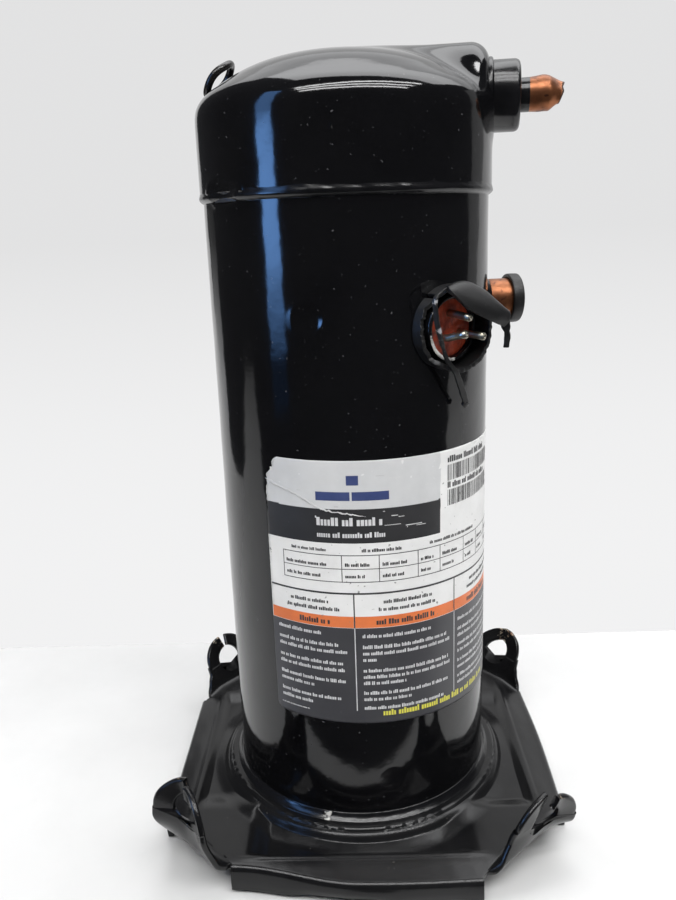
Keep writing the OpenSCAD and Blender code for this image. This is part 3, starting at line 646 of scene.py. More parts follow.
L0, L1, LB, LT = -127.0, 7.0, 77.0, 211.5
C1, C2, C3 = -91.6, -46.9, -55.6


def torn_left(z):
    """How far the left edge of the label is torn in at a height."""
    return 3.6 * step(201.5, 206.5, z) + 0.9 * bell((z - 199) / 3.5, 1.0) + 0.5 * bell((z - 186) / 3.0, 1.0)


nz, na = 150, 90
U, Zg = np.meshgrid(np.linspace(0, 1, na), np.linspace(LB, LT, nz), indexing="ij")
corner = 3.2
inset = np.maximum(0, corner - (LT - Zg)) ** 2 / corner + np.maximum(0, corner - (Zg - LB)) ** 2 / corner
left = L0 + np.degrees(inset / SHELL_R) + torn_left(Zg) + 0.25 * ripple(81, 4.0, Zg) * (Zg > 180)
right = L1 - np.degrees(inset / SHELL_R)
Ag = left + (right - left) * U
P = np.stack([label_point(Ag, Zg, 0.0), label_point(Ag, Zg, -0.13)], 0).reshape(-1, 3)
half = na * nz
faces = grid_faces(na, nz)


def label_field(a, z):
    """Index of the ground colour at a place: 0 white, 1 silver, 2 dark, 3 grey."""
    if z > 172 and a > C3:
        return 0
    if z > 188.5:
        return 1
    if z > 172:
        return 2
    return 0 if z > 128.5 else 3


fm = []
for q in faces:
    i, j = divmod(q[0], nz)
    fm.append(label_field(Ag[i, j], Zg[i, j] + 0.45))
edge = [(i * nz, (i + 1) * nz) for i in range(na - 1)]
edge += [((na - 1) * nz + j, (na - 1) * nz + j + 1) for j in range(nz - 1)]
edge += [((i + 1) * nz + nz - 1, i * nz + nz - 1) for i in range(na - 1)]
edge += [(j + 1, j) for j in range(nz - 1)]
rim = [[a, a + half, b + half, b] for a, b in edge]
backs = [[v + half for v in q[::-1]] for q in faces]
piece("rating_label_sheet", P, faces + rim + backs,
      ["label_white", "label_silver", "label_dark", "label_grey"], "label",
      nodes=["rating_label"], face_mats=fm + [0] * (len(rim) + len(backs)))


def printed(name, mat, rects, lift):
    verts, faces = patch(rects, lift)
    return piece(name, verts, faces, [mat], "label")


GAP = 0.12
columns = [(L0 + 0.2, C1 - GAP), (C1 + GAP, C2 - GAP), (C2 + GAP, L1 - 0.2)]
bands = [(L0 + 0.3, C1 - 0.3), (C1 + 0.3, C2 - 0.3), (C2 + 0.3, L1 - 0.3)]
for name, mat, rects in (
    ("print_silver_block", "label_silver", [(L0 + 6.2, C3, 188.5, LT - 0.4)]),
    ("print_dark_block", "label_dark", [(L0 + 0.9, C3, 172.0, 188.5)]),
    ("print_grey_field", "label_grey", [(a0, a1, 80.5, 128.5) for a0, a1 in columns]),
    ("print_orange_bands", "label_orange", [(a0, a1, 128.7, 134.6) for a0, a1 in bands]),
):
    printed(name, mat, rects, 0.04)

rng = np.random.default_rng(12)


def words(a0, a1, z, h, fill=1.0):
    """A line of plain bars of uneven length, between two bearings, at height z, h high."""
    out, a, stop = [], a0, a0 + (a1 - a0) * fill
    while a < stop - 0.8:
        letters = rng.integers(2, 9)
        for _ in range(letters):
            w = rng.uniform(0.42, 0.62) * h / 1.9
            if a + w > stop:
                break
            tall = h if rng.random() < 0.3 else 0.74 * h
            out.append((a, a + w, z, z + tall))
            a += w + 0.17 * h / 1.9
        a += 0.55 * h / 1.9
    return out


def lines(*rows):
    """Several lines of bars; each row is what words() takes."""
    return [bar for row in rows for bar in words(*row)]


light, dark, blue, yellow = [], [], [], []
light += lines((-105.0, -79.0, 180.4, 4.0), (-105.0, -78.0, 174.6, 2.6))
blue += [(-105.0, -92.0, 192.6, 196.8), (-91.2, -77.0, 192.6, 196.8), (-93.2, -88.6, 200.0, 204.6)]
dark += lines((-50.8, -22.0, 205.4, 3.0), (-50.8, -20.0, 193.0, 2.8))
# Two rows of plain upright stripes
for base_z, top_z in ((196.6, 204.2), (184.2, 192.0)):
    a = -50.8
    while a < -15.5:
        w = rng.choice([0.25, 0.25, 0.45, 0.7])
        dark.append((a, a + w, base_z, top_z))
        a += w + rng.choice([0.25, 0.4, 0.6])
# Table of ratings: a grid of thin rules with a few short bars
top_z, bottom_z = 165.6, 152.2
cuts = [-120.0, -96.0, -81.5, -65.5, -55.0, -41.0, -30.0, -19.0, -6.0, 4.0]
for a0, a1 in zip(cuts[:-1], cuts[1:]):
    dark += [(a0, a0 + 0.28, bottom_z, top_z)]
    dark += [(a0, a1, z, z + 0.34) for z in (bottom_z, top_z)]
    if a1 - a0 > 7:
        dark += [(a0, a1, 158.8, 159.1)]
    dark += lines((a0 + 1.4, a1 - 1.0, 160.2, 1.7, 0.8), (a0 + 1.4, a1 - 1.6, 154.4, 1.7, 0.7))
dark += lines((-116.0, -100.0, 167.6, 1.5, 0.9), (-88.0, -70.0, 167.4, 1.7, 0.9),
              (-60.0, -30.0, 167.6, 1.6, 0.9))
dark += [(L0 + 0.3, L1 - 0.3, 146.0, 146.9)]
dark += [(c - 0.25, c + 0.25, 128.6, 146.0) for c in (C1, C2)]
# Headings of the three columns, above the orange bands and on them
dark += lines((-117.5, -101.0, 141.0, 1.9), (-119.0, -96.0, 137.2, 1.9), (-80.0, -59.0, 141.0, 1.9),
              (-82.0, -57.0, 137.2, 1.9), (-36.0, -10.0, 141.0, 1.9), (-38.0, -14.0, 137.2, 1.9),
              (-114.0, -101.0, 130.2, 2.8), (-83.0, -57.0, 130.2, 2.8), (-38.0, -16.0, 130.2, 2.8))
light += [(c - 0.2, c + 0.2, 84.0, 128.6) for c in (C1, C2)]
# Body of each column: from, to and height of the bars, then height and fill of each line
for a0, a1, h, column in (
    (-124.0, -93.6, 1.9, ((124.2, 0.62), (118.4, 0.86), (114.8, 0.98), (108.6, 0.90), (105.0, 0.96),
                          (99.0, 0.93), (95.4, 0.50), (89.4, 0.86), (85.8, 0.48))),
    (-88.6, -49.0, 1.9, ((123.4, 0.74), (117.6, 0.95), (114.2, 0.98), (110.8, 0.16), (105.0, 0.97),
                         (101.6, 0.99), (98.2, 0.45), (92.8, 0.97), (89.4, 0.50), (84.6, 0.90))),
    (-44.6, 3.0, 1.8, ((122.4, 0.80), (117.0, 0.95), (113.4, 0.9), (108.6, 0.96), (104.8, 0.88),
                       (99.6, 0.97), (96.0, 0.9), (91.0, 0.95), (87.4, 0.6))),
):
    light += lines(*((a0, a1, z, h, fill) for z, fill in column))
yellow += lines((-81.0, -20.0, 80.9, 3.2))
light += lines((-124.5, -111.0, 81.6, 0.8))
for name, bars in (("light", light), ("dark", dark), ("blue", blue), ("yellow", yellow)):
    printed("print_bars_" + name, "print_" + name, bars, 0.085)

# Tear across the top left of the label, with its curled white edge
line = spline([(-126.8, 200.0), (-121.0, 197.6), (-115.0, 195.6), (-109.7, 192.6), (-105.0, 189.4),
               (-100.0, 187.6), (-93.0, 186.2), (-86.0, 184.8)], 90)
i = np.arange(90.0)
width = 0.22 + 0.30 * np.abs(ripple(83, 9.0, i)) + 0.35 * bell(i - 44, 8) + 0.8 * bell(i - 5, 6)
width *= step(0, 5, i) * step(90, 78, i)
verts = []
for i, (a, z) in enumerate(line):
    jag = 0.35 * ripple(84, 5.0, float(i))
    for dz, lift in ((-0.5, 0.09), (0.0, 0.40), (0.5, 0.09)):
        verts.append(label_point(a, z + jag + dz * 2 * width[i], lift))
piece("label_tear", verts, grid_faces(90, 3), ["torn_paper"], "label")
# Scuffs: bearing, height, width in degrees and height in mm
scuffs = (
    (-124.2, 204.5, 1.2, 1.8), (-122.6, 196.5, 1.0, 0.8), (-112.5, 196.4, 1.6, 0.7), (-98.0, 189.5, 1.6, 0.5),
    (-125.6, 190.0, 0.7, 1.6), (-105.5, 184.0, 0.5, 1.0), (-79.5, 186.8, 0.8, 0.4), (-70.0, 178.0, 0.3, 0.6),
    (-76.2, 184.4, 2.6, 0.35), (-73.4, 183.6, 2.4, 0.3), (-79.0, 180.0, 6.5, 0.28), (-70.5, 178.9, 7.0, 0.45),
    (-66.0, 178.2, 4.2, 0.3), (-82.0, 204.0, 4.0, 0.3), (-77.0, 202.6, 5.0, 0.25), (-62.0, 197.0, 3.0, 0.2),
)
printed("label_scuffs", "torn_paper", [(a, a + w, z, z + h) for a, z, w, h in scuffs], 0.10)

# ---------------------------------------------- base plate and its feet
SIDE = 102.6
SEAT_R = 67.6
# Distance of each corner cut from the shell axis: front left, front right, back right, back left
CORNERS = (114.0, 112.0, 113.0, 110.5)


def plate_height(x, y):
    """Top of the pressed plate: seat, groove, shallow basins between the corners, ridge and rolled border."""
    r = np.hypot(x, y)
    ax, ay = np.abs(x), np.abs(y)
    m = np.maximum(ax, ay)
    t = np.minimum(ax, ay)
    z = 15.4 + 1.5 * step(77.0, 75.8, r) + 2.7 * step(90.0, 76.5, r)
    ts = np.where(ax > ay, np.sign(x) * y, -np.sign(y) * x)
    basin = step(57.0, 38.0, ts) * step(-60.0, -48.0, ts) * step(77.4, 81.0, r) * step(91.0, 86.0, m)
    z = z - 3.2 * basin + 0.7 * bell(m - 91.4, 1.2) * step(66, 50, t)
    z = z - 3.2 * step(91.4, 107.0, m) * step(88, 62, t)
    z = z + 0.22 * ripple(91, 60.0, x, y) + 0.05 * ripple(92, 24.0, x, y)
    return z


a = np.radians(np.linspace(-180, 180, 720, endpoint=False))
side_r = SIDE / np.maximum(np.abs(np.cos(a)), np.abs(np.sin(a)))
near = (np.degrees(a) - 45) % 90
near = np.radians(np.where(near > 45, near - 90, near))
which = np.floor((np.degrees(a) + 180) / 90).astype(int) % 4
corner_r = np.array(CORNERS)[which] / np.cos(near)
rim_r = np.minimum(side_r, corner_r)
steps = np.concatenate([np.linspace(0, 0.30, 22), np.linspace(0.32, 1.0, 46)])
U, Aa = np.meshgrid(steps, a, indexing="ij")
R = SEAT_R + (rim_r[None, :] - SEAT_R) * U
X, Y = R * np.cos(Aa), R * np.sin(Aa)
# The front left border is pushed in a little, and the plate is bowed outwards at the front and on the right
push = step(-5, -58, X) * step(-80, -103, Y) * step(-90, -60, X)
bow = 1.2 * bell(X - 20, 45) * step(-85, -104, Y)
Y = Y + push * 8.8 - bow
X = X - push * 8.0 + 2.0 * bell(Y - 5, 50) * step(88, 104, X)
Z = plate_height(X, Y)
P = np.stack([X, Y, Z - 1.5], -1)
# Skirts: carry the border round a small radius and down to the floor
sides_on = side_r < corner_r - 1e-6
lead = P[-1]
normal = np.where((np.abs(np.cos(a)) > np.abs(np.sin(a)))[:, None], np.stack([np.sign(np.cos(a)), 0 * a], -1),
                  np.stack([0 * a, np.sign(np.sin(a))], -1))
rowsP = [lead]
for out_mm, down in ((0.8, -0.2), (1.4, -0.9), (1.6, -1.9)):
    q = lead.copy()
    q[:, :2] += normal * out_mm
    q[:, 2] += down
    rowsP.append(q)
low = rowsP[-1]
# The lower edge rises a little at the front and waves elsewhere
arch = (1.7 + 2.2 * step(-40, -26, low[:, 0]) * step(18, 4, low[:, 0])) * (low[:, 1] < -90)
arch = arch + 0.4 * np.abs(ripple(98, 30.0, low[:, 0], low[:, 1]))
for f in np.linspace(0.12, 1.0, 9):
    q = low.copy()
    q[:, 2] = low[:, 2] * (1 - f) + f * (arch + 0.4)
    wave = 0.5 * ripple(95, 50.0, low[:, 0], low[:, 1])[:, None] * f
    q[:, :2] += normal * (0.5 * bell(f - 0.5, 0.4) + wave)
    rowsP.append(q)
skirt = np.stack(rowsP)
nu, nv = P.shape[:2]
faces = grid_faces(nu, nv, False, True)
verts = P.reshape(-1, 3).tolist()
start = len(verts)
verts += skirt[1:].reshape(-1, 3).tolist()
ns = len(rowsP) - 1
for k in range(nv):
    k2 = (k + 1) % nv
    if not (sides_on[k] and sides_on[k2]) or np.abs(normal[k] - normal[k2]).sum() > 0.5:
        continue
    prev = ((nu - 1) * nv + k, (nu - 1) * nv + k2)
    for j in range(ns):
        cur = (start + j * nv + k, start + j * nv + k2)
        faces.append([prev[0], cur[0], cur[1], prev[1]])
        prev = cur
# Drop the skirt points that the cut corners leave unused
verts = np.array(verts)
used = np.unique(np.array(faces).ravel())
index = np.full(len(verts), -1)
index[used] = np.arange(len(used))
faces = [[int(index[v]) for v in f] for f in faces]
verts = verts[used]
x, y, z = verts.T
m = np.maximum(abs(x), abs(y))
wear = 0.62 * step(4.5, 1.0, z) * (0.62 + 0.38 * ripple(96, 30.0, x, y)) * (m > 101)
wear = wear + 0.30 * bell(z - 8.5, 3.0) * (m > 103) * step(0.2, 0.8, ripple(97, 22.0, x, y))
wear = wear + 0.46 * bell(np.hypot(x - 56, y + 74), 1.8)
plate = piece("pressed_base_plate", verts, faces, ["base_paint"], "black_paint", nodes=["base_plate"],
              wear=wear)
thick(plate, SHEET, 0.5)


def foot(name, az, start, tilt, reach_out, gap, roots, swing, splay, curl, seed, worn):
    """One corner of the plate: a neck bent up out of the plate and a split ring, its two arms forced apart.

    start is the distance of the bend from the shell axis, reach_out the length of the neck, and gap half the
    angle of the split. The pairs are for the two sides of the foot: roots is the half width at the root, swing
    turns each side about its own edge, splay leans the tips towards the shell, and curl shifts them sideways.
    worn is the wear of the two tips and of the edges.
    """
    c, s_ = math.cos(math.radians(az)), math.sin(math.radians(az))
    tilt = math.radians(tilt)
    radius, hole_r = 6.0, 9.3
    centre = start + radius * tilt + reach_out

    def bent(s, t, lift=0.0):
        """A point of the flat blank, s outward along the diagonal and t sideways, after bending up."""
        s, t, lift = np.broadcast_arrays(np.asarray(s, float), np.asarray(t, float), np.asarray(lift, float))
        far = np.where(t > 0, swing[0], swing[1]) * np.log1p(np.exp((np.abs(t) - 5.0) / 1.5)) * 1.5
        lift = lift + far * step(start + 2, centre - 3, s)
        z0 = plate_height(start * c - t * s_, start * s_ + t * c) - 1.5
        z0 = 13.6 + (z0 - 13.6) * step(start + 10, start, s)
        ang = np.clip((s - start) / radius, 0, tilt)
        rest = np.maximum(0, s - start - radius * tilt)
        along = start + radius * np.sin(ang) + rest * np.cos(tilt) - lift * np.sin(ang)
        along = np.where(s < start, s, along)
        up = z0 + radius * (1 - np.cos(ang)) + rest * np.sin(tilt) + lift * np.cos(ang)
        return np.stack([along * c - t * s_, along * s_ + t * c, up], -1)

    verts, faces, wear = np.zeros((0, 3)), [], np.zeros(0)

    def add(grid, marks):
        nonlocal verts, faces, wear
        v, f = slab(grid, SHEET)
        faces += [[i + len(verts) for i in q] for q in f]
        verts = np.vstack([verts, v])
        wear = np.concatenate([wear, slab_marks(marks)])

    # Neck, down to the edge of the hole
    f = np.linspace(0, 1, 34)
    nominal = start - 1.5 + (centre - start + 1.5) * f
    across = np.linspace(-1, 1, 41)[None, :]
    places = [start - 2, start + 3, start + 8, start + 14, centre + 4]
    narrow = np.interp(nominal, places, [1.0, 0.8, 0.45, 0.15, 0.0])
    w = np.where(across > 0, roots[0], roots[1]) - 17.4
    T = across * (17.4 + w * narrow[:, None] + 0.3 * ripple(seed, 14.0, nominal)[:, None])
    S_end = centre - np.sqrt(np.maximum(0, hole_r**2 - T**2))
    S = start - 1.5 + (S_end - start + 1.5) * f[:, None]
    edge = (np.abs(across) > 0.96) * (0.5 + 0.5 * ripple(seed + 3, 9.0, S))
    add(bent(S, T), 0.22 * edge * worn[2])
    # Arms of the ring
    for k, sign in enumerate((1.0, -1.0)):
        lean, fan, rust = splay[k], curl[k], worn[k]
        phi = np.radians(np.linspace(97, gap, 46))
        V = np.linspace(0, 1, 9)[None, :]
        F = phi[:, None] * np.ones_like(V)
        gone = step(math.radians(95), math.radians(gap), F)
        wide = 17.2 - 1.2 * gone
        R = hole_r + (wide - hole_r) * V + 0.25 * ripple(seed + 10 + k, 1.0, F) * V * gone
        grid = bent(centre + R * np.cos(F), sign * (R * np.sin(F) + fan * gone), lean * gone**1.3 + 0.02)
        rubbed = ((V > 0.9) | (V < 0.1)) * (0.5 + 0.5 * ripple(seed + 4, 0.6, F))
        marks = 0.50 * rust * step(0.45, 0.95, gone) + 0.22 * worn[2] * rubbed
        order = slice(None) if sign > 0 else slice(None, None, -1)
        add(grid[:, order], marks[:, order])
    return piece(name, verts, faces, ["base_paint"], "black_paint", wear=wear)


foot("foot_front_left", -135, CORNERS[0], tilt=86, reach_out=19.5, gap=5, roots=(19.5, 30.0),
     swing=(-0.42, -0.75), splay=(-1.0, 2.5), curl=(0.0, 2.0), seed=101, worn=(0.3, 0.7, 0.8))
foot("foot_front_right", -45, CORNERS[1], tilt=70, reach_out=14.5, gap=6, roots=(30.0, 31.0),
     swing=(-0.60, 0.25), splay=(-1.5, 3.0), curl=(0.0, 0.0), seed=111, worn=(0.5, 0.3, 1.0))
foot("foot_back_right", 41, CORNERS[2], tilt=58, reach_out=13.5, gap=9, roots=(29.0, 28.0),
     swing=(-0.1, 0.1), splay=(-4.0, 2.0), curl=(-2.0, 1.5), seed=121, worn=(1.0, 0.9, 0.8))
foot("foot_back_left", 138, CORNERS[3], tilt=60, reach_out=13.0, gap=12, roots=(27.0, 28.0),
     swing=(0.1, 0.0), splay=(2.0, -2.0), curl=(0.0, 1.5), seed=131, worn=(0.9, 0.6, 0.7))

# ---------------------------------------------- terminal, its pins and its torn boot
t_origin, t_out, t_side, t_up = outward(TERMINAL_AZ, TERMINAL_Z)


def at_terminal(rho, t, z):
    rho, t, z = np.broadcast_arrays(np.asarray(rho, float), np.asarray(t, float), np.asarray(z, float))
    return t_origin + rho[..., None] * t_out + t[..., None] * t_side + z[..., None] * t_up


rows = rounded([(13.0, 66.0), (15.2, 66.0), (15.1, 73.2), (14.6, 74.0), (13.3, 74.0), (13.0, 73.2)], 0.4, 3)
P = lathe(TERMINAL_AZ, TERMINAL_Z, rows, 96, lambda A, R, X: (R + 0.05 * ripple(141, 9.0, A * 13, X), X))
# The rim is rubbed bright at its lower left and only flecked elsewhere
round_rim = np.linspace(0, 360, 96, endpoint=False)[:, None]
bright = 0.34 + 0.50 * bell((round_rim - 218) / 40, 1.0)
ring_piece("terminal_rim", P, ["weld_paint"], "bare_steel", nodes=["terminal_fence"],
           wear=bright * step(73.1, 73.9, P @ t_out))
rows = [(0.05, 66.0), (12.9, 66.0)]
rows += [(r, 71.2 + 0.7 * math.cos(r / 13 * 1.5)) for r in np.linspace(13.0, 0.05, 22)]
P = lathe(TERMINAL_AZ, TERMINAL_Z, rows, 96,
          lambda A, R, X: (R, X + (X > 70) * 0.35 * ripple(142, 6.0, R * np.cos(A), R * np.sin(A))))
ring_piece("sealant_disc", P, ["sealant"], "sealant", nodes=["terminal_sealant", "terminal_body"])
# Pins: sideways and upward place of the foot and of the tip, and reach of the tip from the shell axis
verts, faces = [], []
for (bt, bz), (tt, tz), tip in (((-0.6, 6.6), (-1.6, 5.4), 85.2), ((6.0, -2.8), (6.6, -3.4), 86.2),
                                ((-5.4, -3.8), (-4.0, -1.4), 85.6)):
    base_p, mid_p, end_p = at_terminal(62.0, bt, bz), at_terminal(74.0, bt, bz), at_terminal(tip, tt, tz)
    path = spline([base_p, mid_p, 0.5 * (mid_p + end_p), end_p], 14)
    path[-2] = path[-1] * 0.86 + path[-2] * 0.14
    rads = np.full(14, 1.7)
    rads[-1] = 1.15
    v, f = tube(path, rads, 24)
    faces += [[i + len(verts) for i in q] for q in f]
    verts += v.tolist()
piece("terminal_pin_set", np.array(verts), faces, ["tin"], "tin", nodes=["terminal_pins"])

# Boot wall: whole at the right and below, torn down to a stump at the left
psi = np.radians(np.linspace(62, 318, 150))
deg = np.degrees(psi)
end = np.interp(deg, [62, 80, 200, 216, 228, 300, 318], [80.0, 79.8, 79.4, 77.0, 73.0, 72.4, 75.0])
end = end + 0.35 * ripple(151, 14.0, deg) + 0.5 * ripple(152, 5.0, deg) * step(205, 222, deg)
v = np.linspace(0, 1, 16)
PS, V = np.meshgrid(psi, v, indexing="ij")
rr = 18.2 + 0.25 * ripple(153, 40.0, np.degrees(PS), V * 10) + 0.5 * V * bell(np.degrees(PS) - 130, 50)
T, Zt = rr * np.sin(PS), rr * np.cos(PS)
foot_rho = np.sqrt(SHELL_R**2 - T**2) - 0.3
RHO = foot_rho + (end[:, None] - foot_rho) * V
P = at_terminal(RHO, T, Zt)
wear = 0.16 * (V > 0.95)
boot = piece("terminal_boot_wall", P.reshape(-1, 3), grid_faces(len(psi), len(v)), ["rubber"], "rubber",
             nodes=["terminal_cover"], wear=wear)
thick(boot, 2.0, 0.5)

# Hood: the top of the boot, pulled outwards and folded over
base_psi = np.radians(np.array([-36, -16, 8, 34, 58, 80.0]))
sin_b, cos_b = np.sin(base_psi), np.cos(base_psi)
row0 = np.stack([np.sqrt(SHELL_R**2 - (18.6 * sin_b) ** 2) - 0.3, 18.6 * sin_b, 18.6 * cos_b], -1)
row1 = np.stack([np.full(6, 76.0), 19.0 * sin_b, 19.0 * cos_b], -1)
row2 = [(80.0, -10.6, 18.4), (80.4, -5.0, 20.0), (81.6, 1.0, 19.6), (84.0, 8.6, 15.8), (87.4, 14.0, 10.2),
        (88.4, 18.4, 6.6)]
row3 = [(81.6, -11.4, 18.2), (83.2, -7.4, 17.4), (85.4, -2.2, 14.4), (87.8, 5.0, 10.8), (90.0, 12.0, 6.4),
        (90.4, 17.8, 3.4)]
row4 = [(82.4, -11.8, 17.6), (84.2, -8.6, 14.2), (86.0, -4.2, 9.8), (87.0, 2.4, 6.2), (88.0, 9.6, 3.2),
        (88.4, 16.8, 0.4)]
rows = np.array([row0, row1, row2, row3, row4])
dense = np.array([spline(r, 46) for r in rows])
dense = np.array([spline(dense[:, k], 30) for k in range(dense.shape[1])])
P = at_terminal(dense[..., 0], dense[..., 1], dense[..., 2])
edge = np.zeros(P.shape[:2])
edge[:, -2:] = 0.40
edge[:3, :] = 0.40
hood = piece("terminal_boot_hood", P.reshape(-1, 3), grid_faces(*P.shape[:2]), ["rubber"], "rubber",
             wear=edge)
thick(hood, 1.9, 0.5)


def strip(name, points, widths, across, mm, wear_level, n=70, nodes=()):
    """A narrow torn band of rubber along points (rho, t, z)."""
    p = spline(points, n)
    w = np.interp(np.linspace(0, 1, n), np.linspace(0, 1, len(widths)), widths)
    w = w + 0.25 * ripple(161, 12.0, np.arange(float(n)))
    across = np.array(across, float)
    k = np.linspace(-0.5, 0.5, 5)
    Q = p[:, None, :] + w[:, None, None] * k[None, :, None] * across
    P = at_terminal(Q[..., 0], Q[..., 1], Q[..., 2])
    wear = np.full(P.shape[:2], wear_level) * (0.75 + 0.5 * ripple(162, 11.0, np.arange(float(n)))[:, None])
    obj = piece(name, P.reshape(-1, 3), grid_faces(n, 5), ["rubber"], "rubber", wear=wear, nodes=nodes)
    return thick(obj, mm, 0.35)


strip("boot_torn_edge", [(80.0, -10.4, 18.6), (80.2, -15.0, 16.9), (80.2, -17.8, 14.2), (80.0, -17.3, 9.5),
                         (79.8, -16.3, 4.5), (79.8, -14.8, -0.6), (79.6, -13.2, -4.7), (79.4, -11.6, -8.2)],
      [1.4, 2.0, 2.2, 2.3, 2.3, 1.9, 1.4], (1.0, 0.25, 0.0), 1.3, 0.50)
strip("boot_strap", [(79.4, -11.6, -8.2), (79.4, -9.6, -12.7), (79.6, -4.6, -18.5), (77.8, 0.6, -25.6),
                     (75.4, 6.6, -34.6)], [1.6, 2.0, 2.6, 2.9, 3.0], (0.35, 0.9, 0.25), 1.5, 0.16,
      nodes=["cover_strap"])
strip("boot_strap_end", [(74.8, 5.0, -35.0), (74.9, 6.8, -36.2), (75.0, 8.4, -35.4)], [1.8, 2.4, 1.6],
      (0.4, 0.1, 0.9), 1.8, 0.3, n=12)
strip("boot_hanging_tab", [(88.4, 17.4, 3.0), (88.6, 18.4, -0.6), (88.4, 19.6, -4.4), (88.0, 19.4, -9.6)],
      [5.0, 4.0, 2.6, 2.8, 2.6], (0.8, 0.6, 0.0), 2.2, 0.1, n=30)

# ---------------------------------------------- finishes on the CAD pieces that are carried over
for part in frame["record"]["subparts"]:
    node = frame["nodes"].get(part["node"])
    if node is None:
        continue
    slot = part["material_slot"]
    mat = {"black_paint": "base_paint", "label": "label_white"}.get(slot, slot)
    node.data.materials.clear()
    node.data.materials.append(M[mat])

# ---------------------------------------------- stage, in metres
def stage_piece(name, verts, faces, mat, **seen):
    """A piece of the stage; seen says which kinds of ray may meet it."""
    mesh = bpy.data.meshes.new(name)
    mesh.from_pydata(verts, [], faces)
    mesh.materials.append(mat)
    obj = linked(name, mesh)
    for kind, value in seen.items():
        setattr(obj, "visible_" + kind, value)
    return obj


def plane(name, corners, mat, **seen):
    return stage_piece(name, corners, [[0, 1, 2, 3]], mat, **seen)


def floor_part(name, x0, x1, y0, y1, **seen):
    return plane(name, [(x0, y0, 0.0), (x1, y0, 0.0), (x1, y1, 0.0), (x0, y1, 0.0)], floor_mat, **seen)


def glow(name, colour, strength):
    m, nt = blank(name)
    e = wire(nt, "ShaderNodeEmission", Color=(*colour, 1.0), Strength=strength)
    wire(nt, "ShaderNodeOutputMaterial", i0=e.outputs[0])
    return m


def floor_finish():
    m, nt = blank("pale_floor")
    coords = object_place(nt)
    broad = noise(nt, coords, 7.0, 5.0, 0.6)
    fine = noise(nt, coords, 45.0, 6.0, 0.7)
    patches = remap(nt, broad, 0.40, 0.62, 0.0, 1.0)
    colour = blend_colour(nt, patches, (0.70, 0.70, 0.695), (0.655, 0.655, 0.65))
    colour = blend_colour(nt, remap(nt, fine, 0.62, 0.74, 0.0, 0.35), colour, (0.62, 0.63, 0.62))
    shader = wire(nt, "ShaderNodeBsdfPrincipled", Base__Color=colour, Roughness=0.6)
    wire(nt, "ShaderNodeOutputMaterial", i0=shader.outputs[0])
    return m


def ramp_glow(name, colour, *steps):
    """Glow that follows height; steps are (low, high, strength below, strength above), multiplied."""
    m, nt = blank(name)
    height = wire(nt, "ShaderNodeSeparateXYZ", Vector=object_place(nt)).outputs[2]
    strength = 1.0
    for lo, hi, below, above in steps:
        part = remap(nt, height, lo, hi, below, above)
        strength = wire(nt, "ShaderNodeMath", _operation="MULTIPLY", i0=part, i1=strength).outputs[0]
    e = wire(nt, "ShaderNodeEmission", Color=(*colour, 1.0), Strength=strength)
    wire(nt, "ShaderNodeOutputMaterial", i0=e.outputs[0])
    return m


PALE = (0.985, 0.985, 0.99)
COOL = (0.98, 0.985, 1.0)
FLOOR_X, FLOOR_FRONT, FLOOR_BACK = 1.6, -1.5, 1.6
FRONT_EDGE, BACK_EDGE = -0.135, 0.155
SWEEP_LEFT, SWEEP_RIGHT, SWEEP_TOP = -0.65, 1.25, 1.15
floor_mat = floor_finish()
floor_part("floor_sheet", -FLOOR_X, FLOOR_X, FRONT_EDGE, BACK_EDGE)
# The rest of the floor: seen, but left out of mirror images so that the front of the shell stays dark
floor_part("floor_front", -FLOOR_X, FLOOR_X, FLOOR_FRONT, FRONT_EDGE, glossy=False)
floor_part("floor_back_left", -FLOOR_X, SWEEP_LEFT, BACK_EDGE, FLOOR_BACK, glossy=False)
floor_part("floor_back_right", SWEEP_RIGHT, FLOOR_X, BACK_EDGE, FLOOR_BACK, glossy=False)
# A pale wall all round, seen directly from the other sides but not in mirror images
wall_r, wall_low, wall_high, wall_steps = 2.6, -1.6, 3.4, 64
turns = np.linspace(0, 2 * math.pi, wall_steps, endpoint=False)
verts = [(wall_r * math.cos(a), wall_r * math.sin(a), z) for a in turns for z in (wall_low, wall_high)]
stage_piece("studio_wall", verts, grid_faces(wall_steps, 2, True), glow("studio_wall_glow", PALE, 0.78),
            glossy=False, diffuse=False, shadow=False)
# The backdrop rises from the floor in one sweep
sweep = spline([(BACK_EDGE, 0.0), (0.42, 0.012), (0.72, 0.09), (0.92, 0.32), (0.99, 0.70),
                (1.0, SWEEP_TOP)], 40)
verts = [(x, y, z) for y, z in sweep for x in (SWEEP_LEFT, SWEEP_RIGHT)]
stage_piece("backdrop_sweep", verts, grid_faces(40, 2),
            ramp_glow("backdrop_glow", PALE, (0.0, 0.30, 0.90, 0.775)))
# Panels that the paint mirrors; the camera doesn't see them
plane("backdrop_upper", [(-0.6, 1.0, SWEEP_TOP), (1.5, 1.0, SWEEP_TOP), (1.5, 0.9, 1.55), (-0.6, 0.9, 1.55)],
      glow("upper_glow", COOL, 1.25), camera=False)
overhead = ramp_glow("overhead_glow", COOL, (1.55, 1.75, 2.3, 4.2))
plane("overhead_back", [(-0.5, 0.9, 1.55), (1.5, 0.9, 1.55), (1.5, 0.5, 1.70), (-0.5, 0.5, 1.70)],
      overhead, camera=False)
plane("overhead_front", [(-0.5, 0.5, 1.70), (1.5, 0.5, 1.70), (1.5, -0.02, 1.76), (-0.5, -0.02, 1.76)],
      overhead, camera=False)
plane("side_wall", [(1.5, 0.55, -0.02), (1.25, 1.0, -0.02), (1.25, 1.0, SWEEP_TOP), (1.5, 0.55, SWEEP_TOP)],
      glow("side_glow", COOL, 0.32), camera=False)
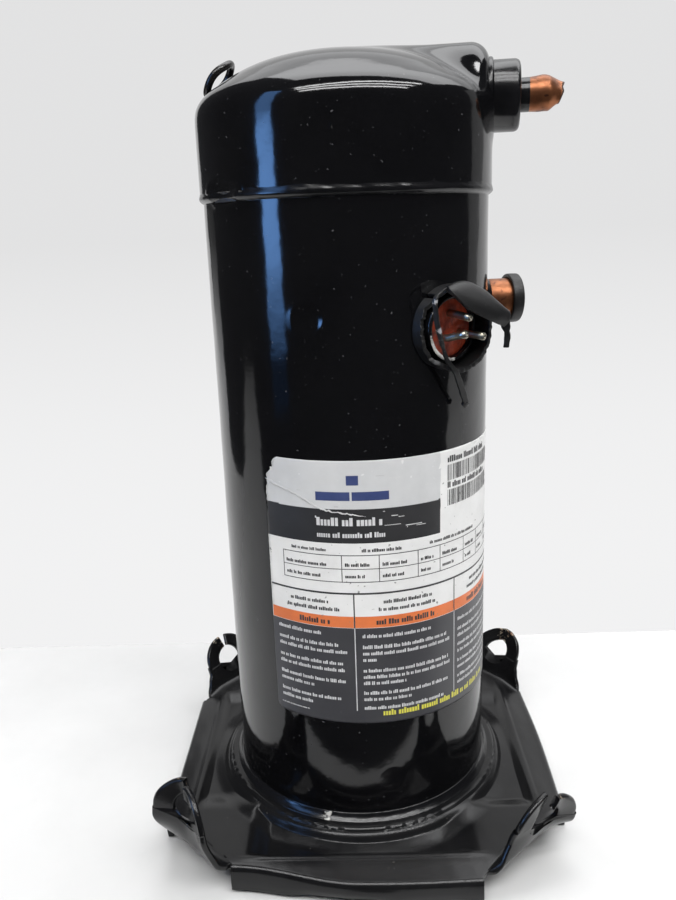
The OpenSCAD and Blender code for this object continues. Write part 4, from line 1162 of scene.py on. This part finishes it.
plane("left_low_wall", [(-1.25, 0.92, -0.5), (-0.80, 1.0, -0.5), (-0.80, 1.0, 0.36), (-1.25, 0.92, 0.36)],
      ramp_glow("left_low_glow", COOL, (0.0, 0.30, 0.85, 0.12)), camera=False)
window = ramp_glow("window_glow", (0.20, 0.45, 1.0), (0.06, 0.30, 0.2, 10.0), (0.46, 0.54, 1.0, 0.40))
for k, (z0, z1) in enumerate(((-0.05, 0.5), (0.5, 1.5))):
    plane("window_%d" % k, [(-1.07, -0.84, z0), (-1.235, -0.56, z0), (-1.235, -0.56, z1), (-1.07, -0.84, z1)],
          window, diffuse=False, camera=False)


def area(name, at, aim, size_x, size_y, watts, colour=(1.0, 1.0, 1.0)):
    light = bpy.data.lights.new(name, "AREA")
    light.shape = "RECTANGLE"
    light.size, light.size_y = size_x, size_y
    light.energy = watts
    light.color = colour
    obj = linked(name, light)
    obj.location = at
    obj.rotation_euler = (Vector(aim) - Vector(at)).to_track_quat("-Z", "Y").to_euler()
    return obj


for k, (y, z) in enumerate(((-0.62, 1.62), (-0.86, 1.52), (-1.10, 1.40))):
    area("front_strip_%d" % k, (0.18, y, z), (0.0, 0.0, 0.25), 2.1, 0.10, 11.0)
area("right_soft", (1.15, -0.75, 1.05), (0.0, 0.0, 0.2), 0.5, 0.5, 2.0).visible_glossy = False
area("left_soft", (-1.0, -0.10, 1.15), (-0.1, 0.0, 0.1), 0.5, 0.5, 4.5).visible_glossy = False

world = bpy.data.worlds.new("studio_dark")
world.use_nodes = True
world.node_tree.nodes["Background"].inputs[0].default_value = (0.050, 0.051, 0.055, 1.0)
world.node_tree.nodes["Background"].inputs[1].default_value = 1.0
bpy.context.scene.world = world
bpy.context.scene.view_settings.view_transform = "Standard"

# ---------------------------------------------- camera
camera_at = (0.0, -0.4245, 0.314)
pitch, yaw, roll = math.radians(15.37), math.radians(-1.12), math.radians(-2.05)
forward = Vector((math.sin(yaw) * math.cos(pitch), math.cos(yaw) * math.cos(pitch), -math.sin(pitch)))
right = Vector((math.cos(yaw), -math.sin(yaw), 0.0))
up = right.cross(forward)
right2 = right * math.cos(roll) + up * math.sin(roll)
up2 = up * math.cos(roll) - right * math.sin(roll)
cam = bpy.data.cameras.new("camera")
cam.sensor_width = 36.0
cam.lens = 32.6
cam.clip_start = 0.02
camera = linked("camera", cam)
turn_to = Matrix((right2, up2, -forward)).transposed().to_4x4()
camera.matrix_world = Matrix.Translation(camera_at) @ turn_to
bpy.context.scene.camera = camera
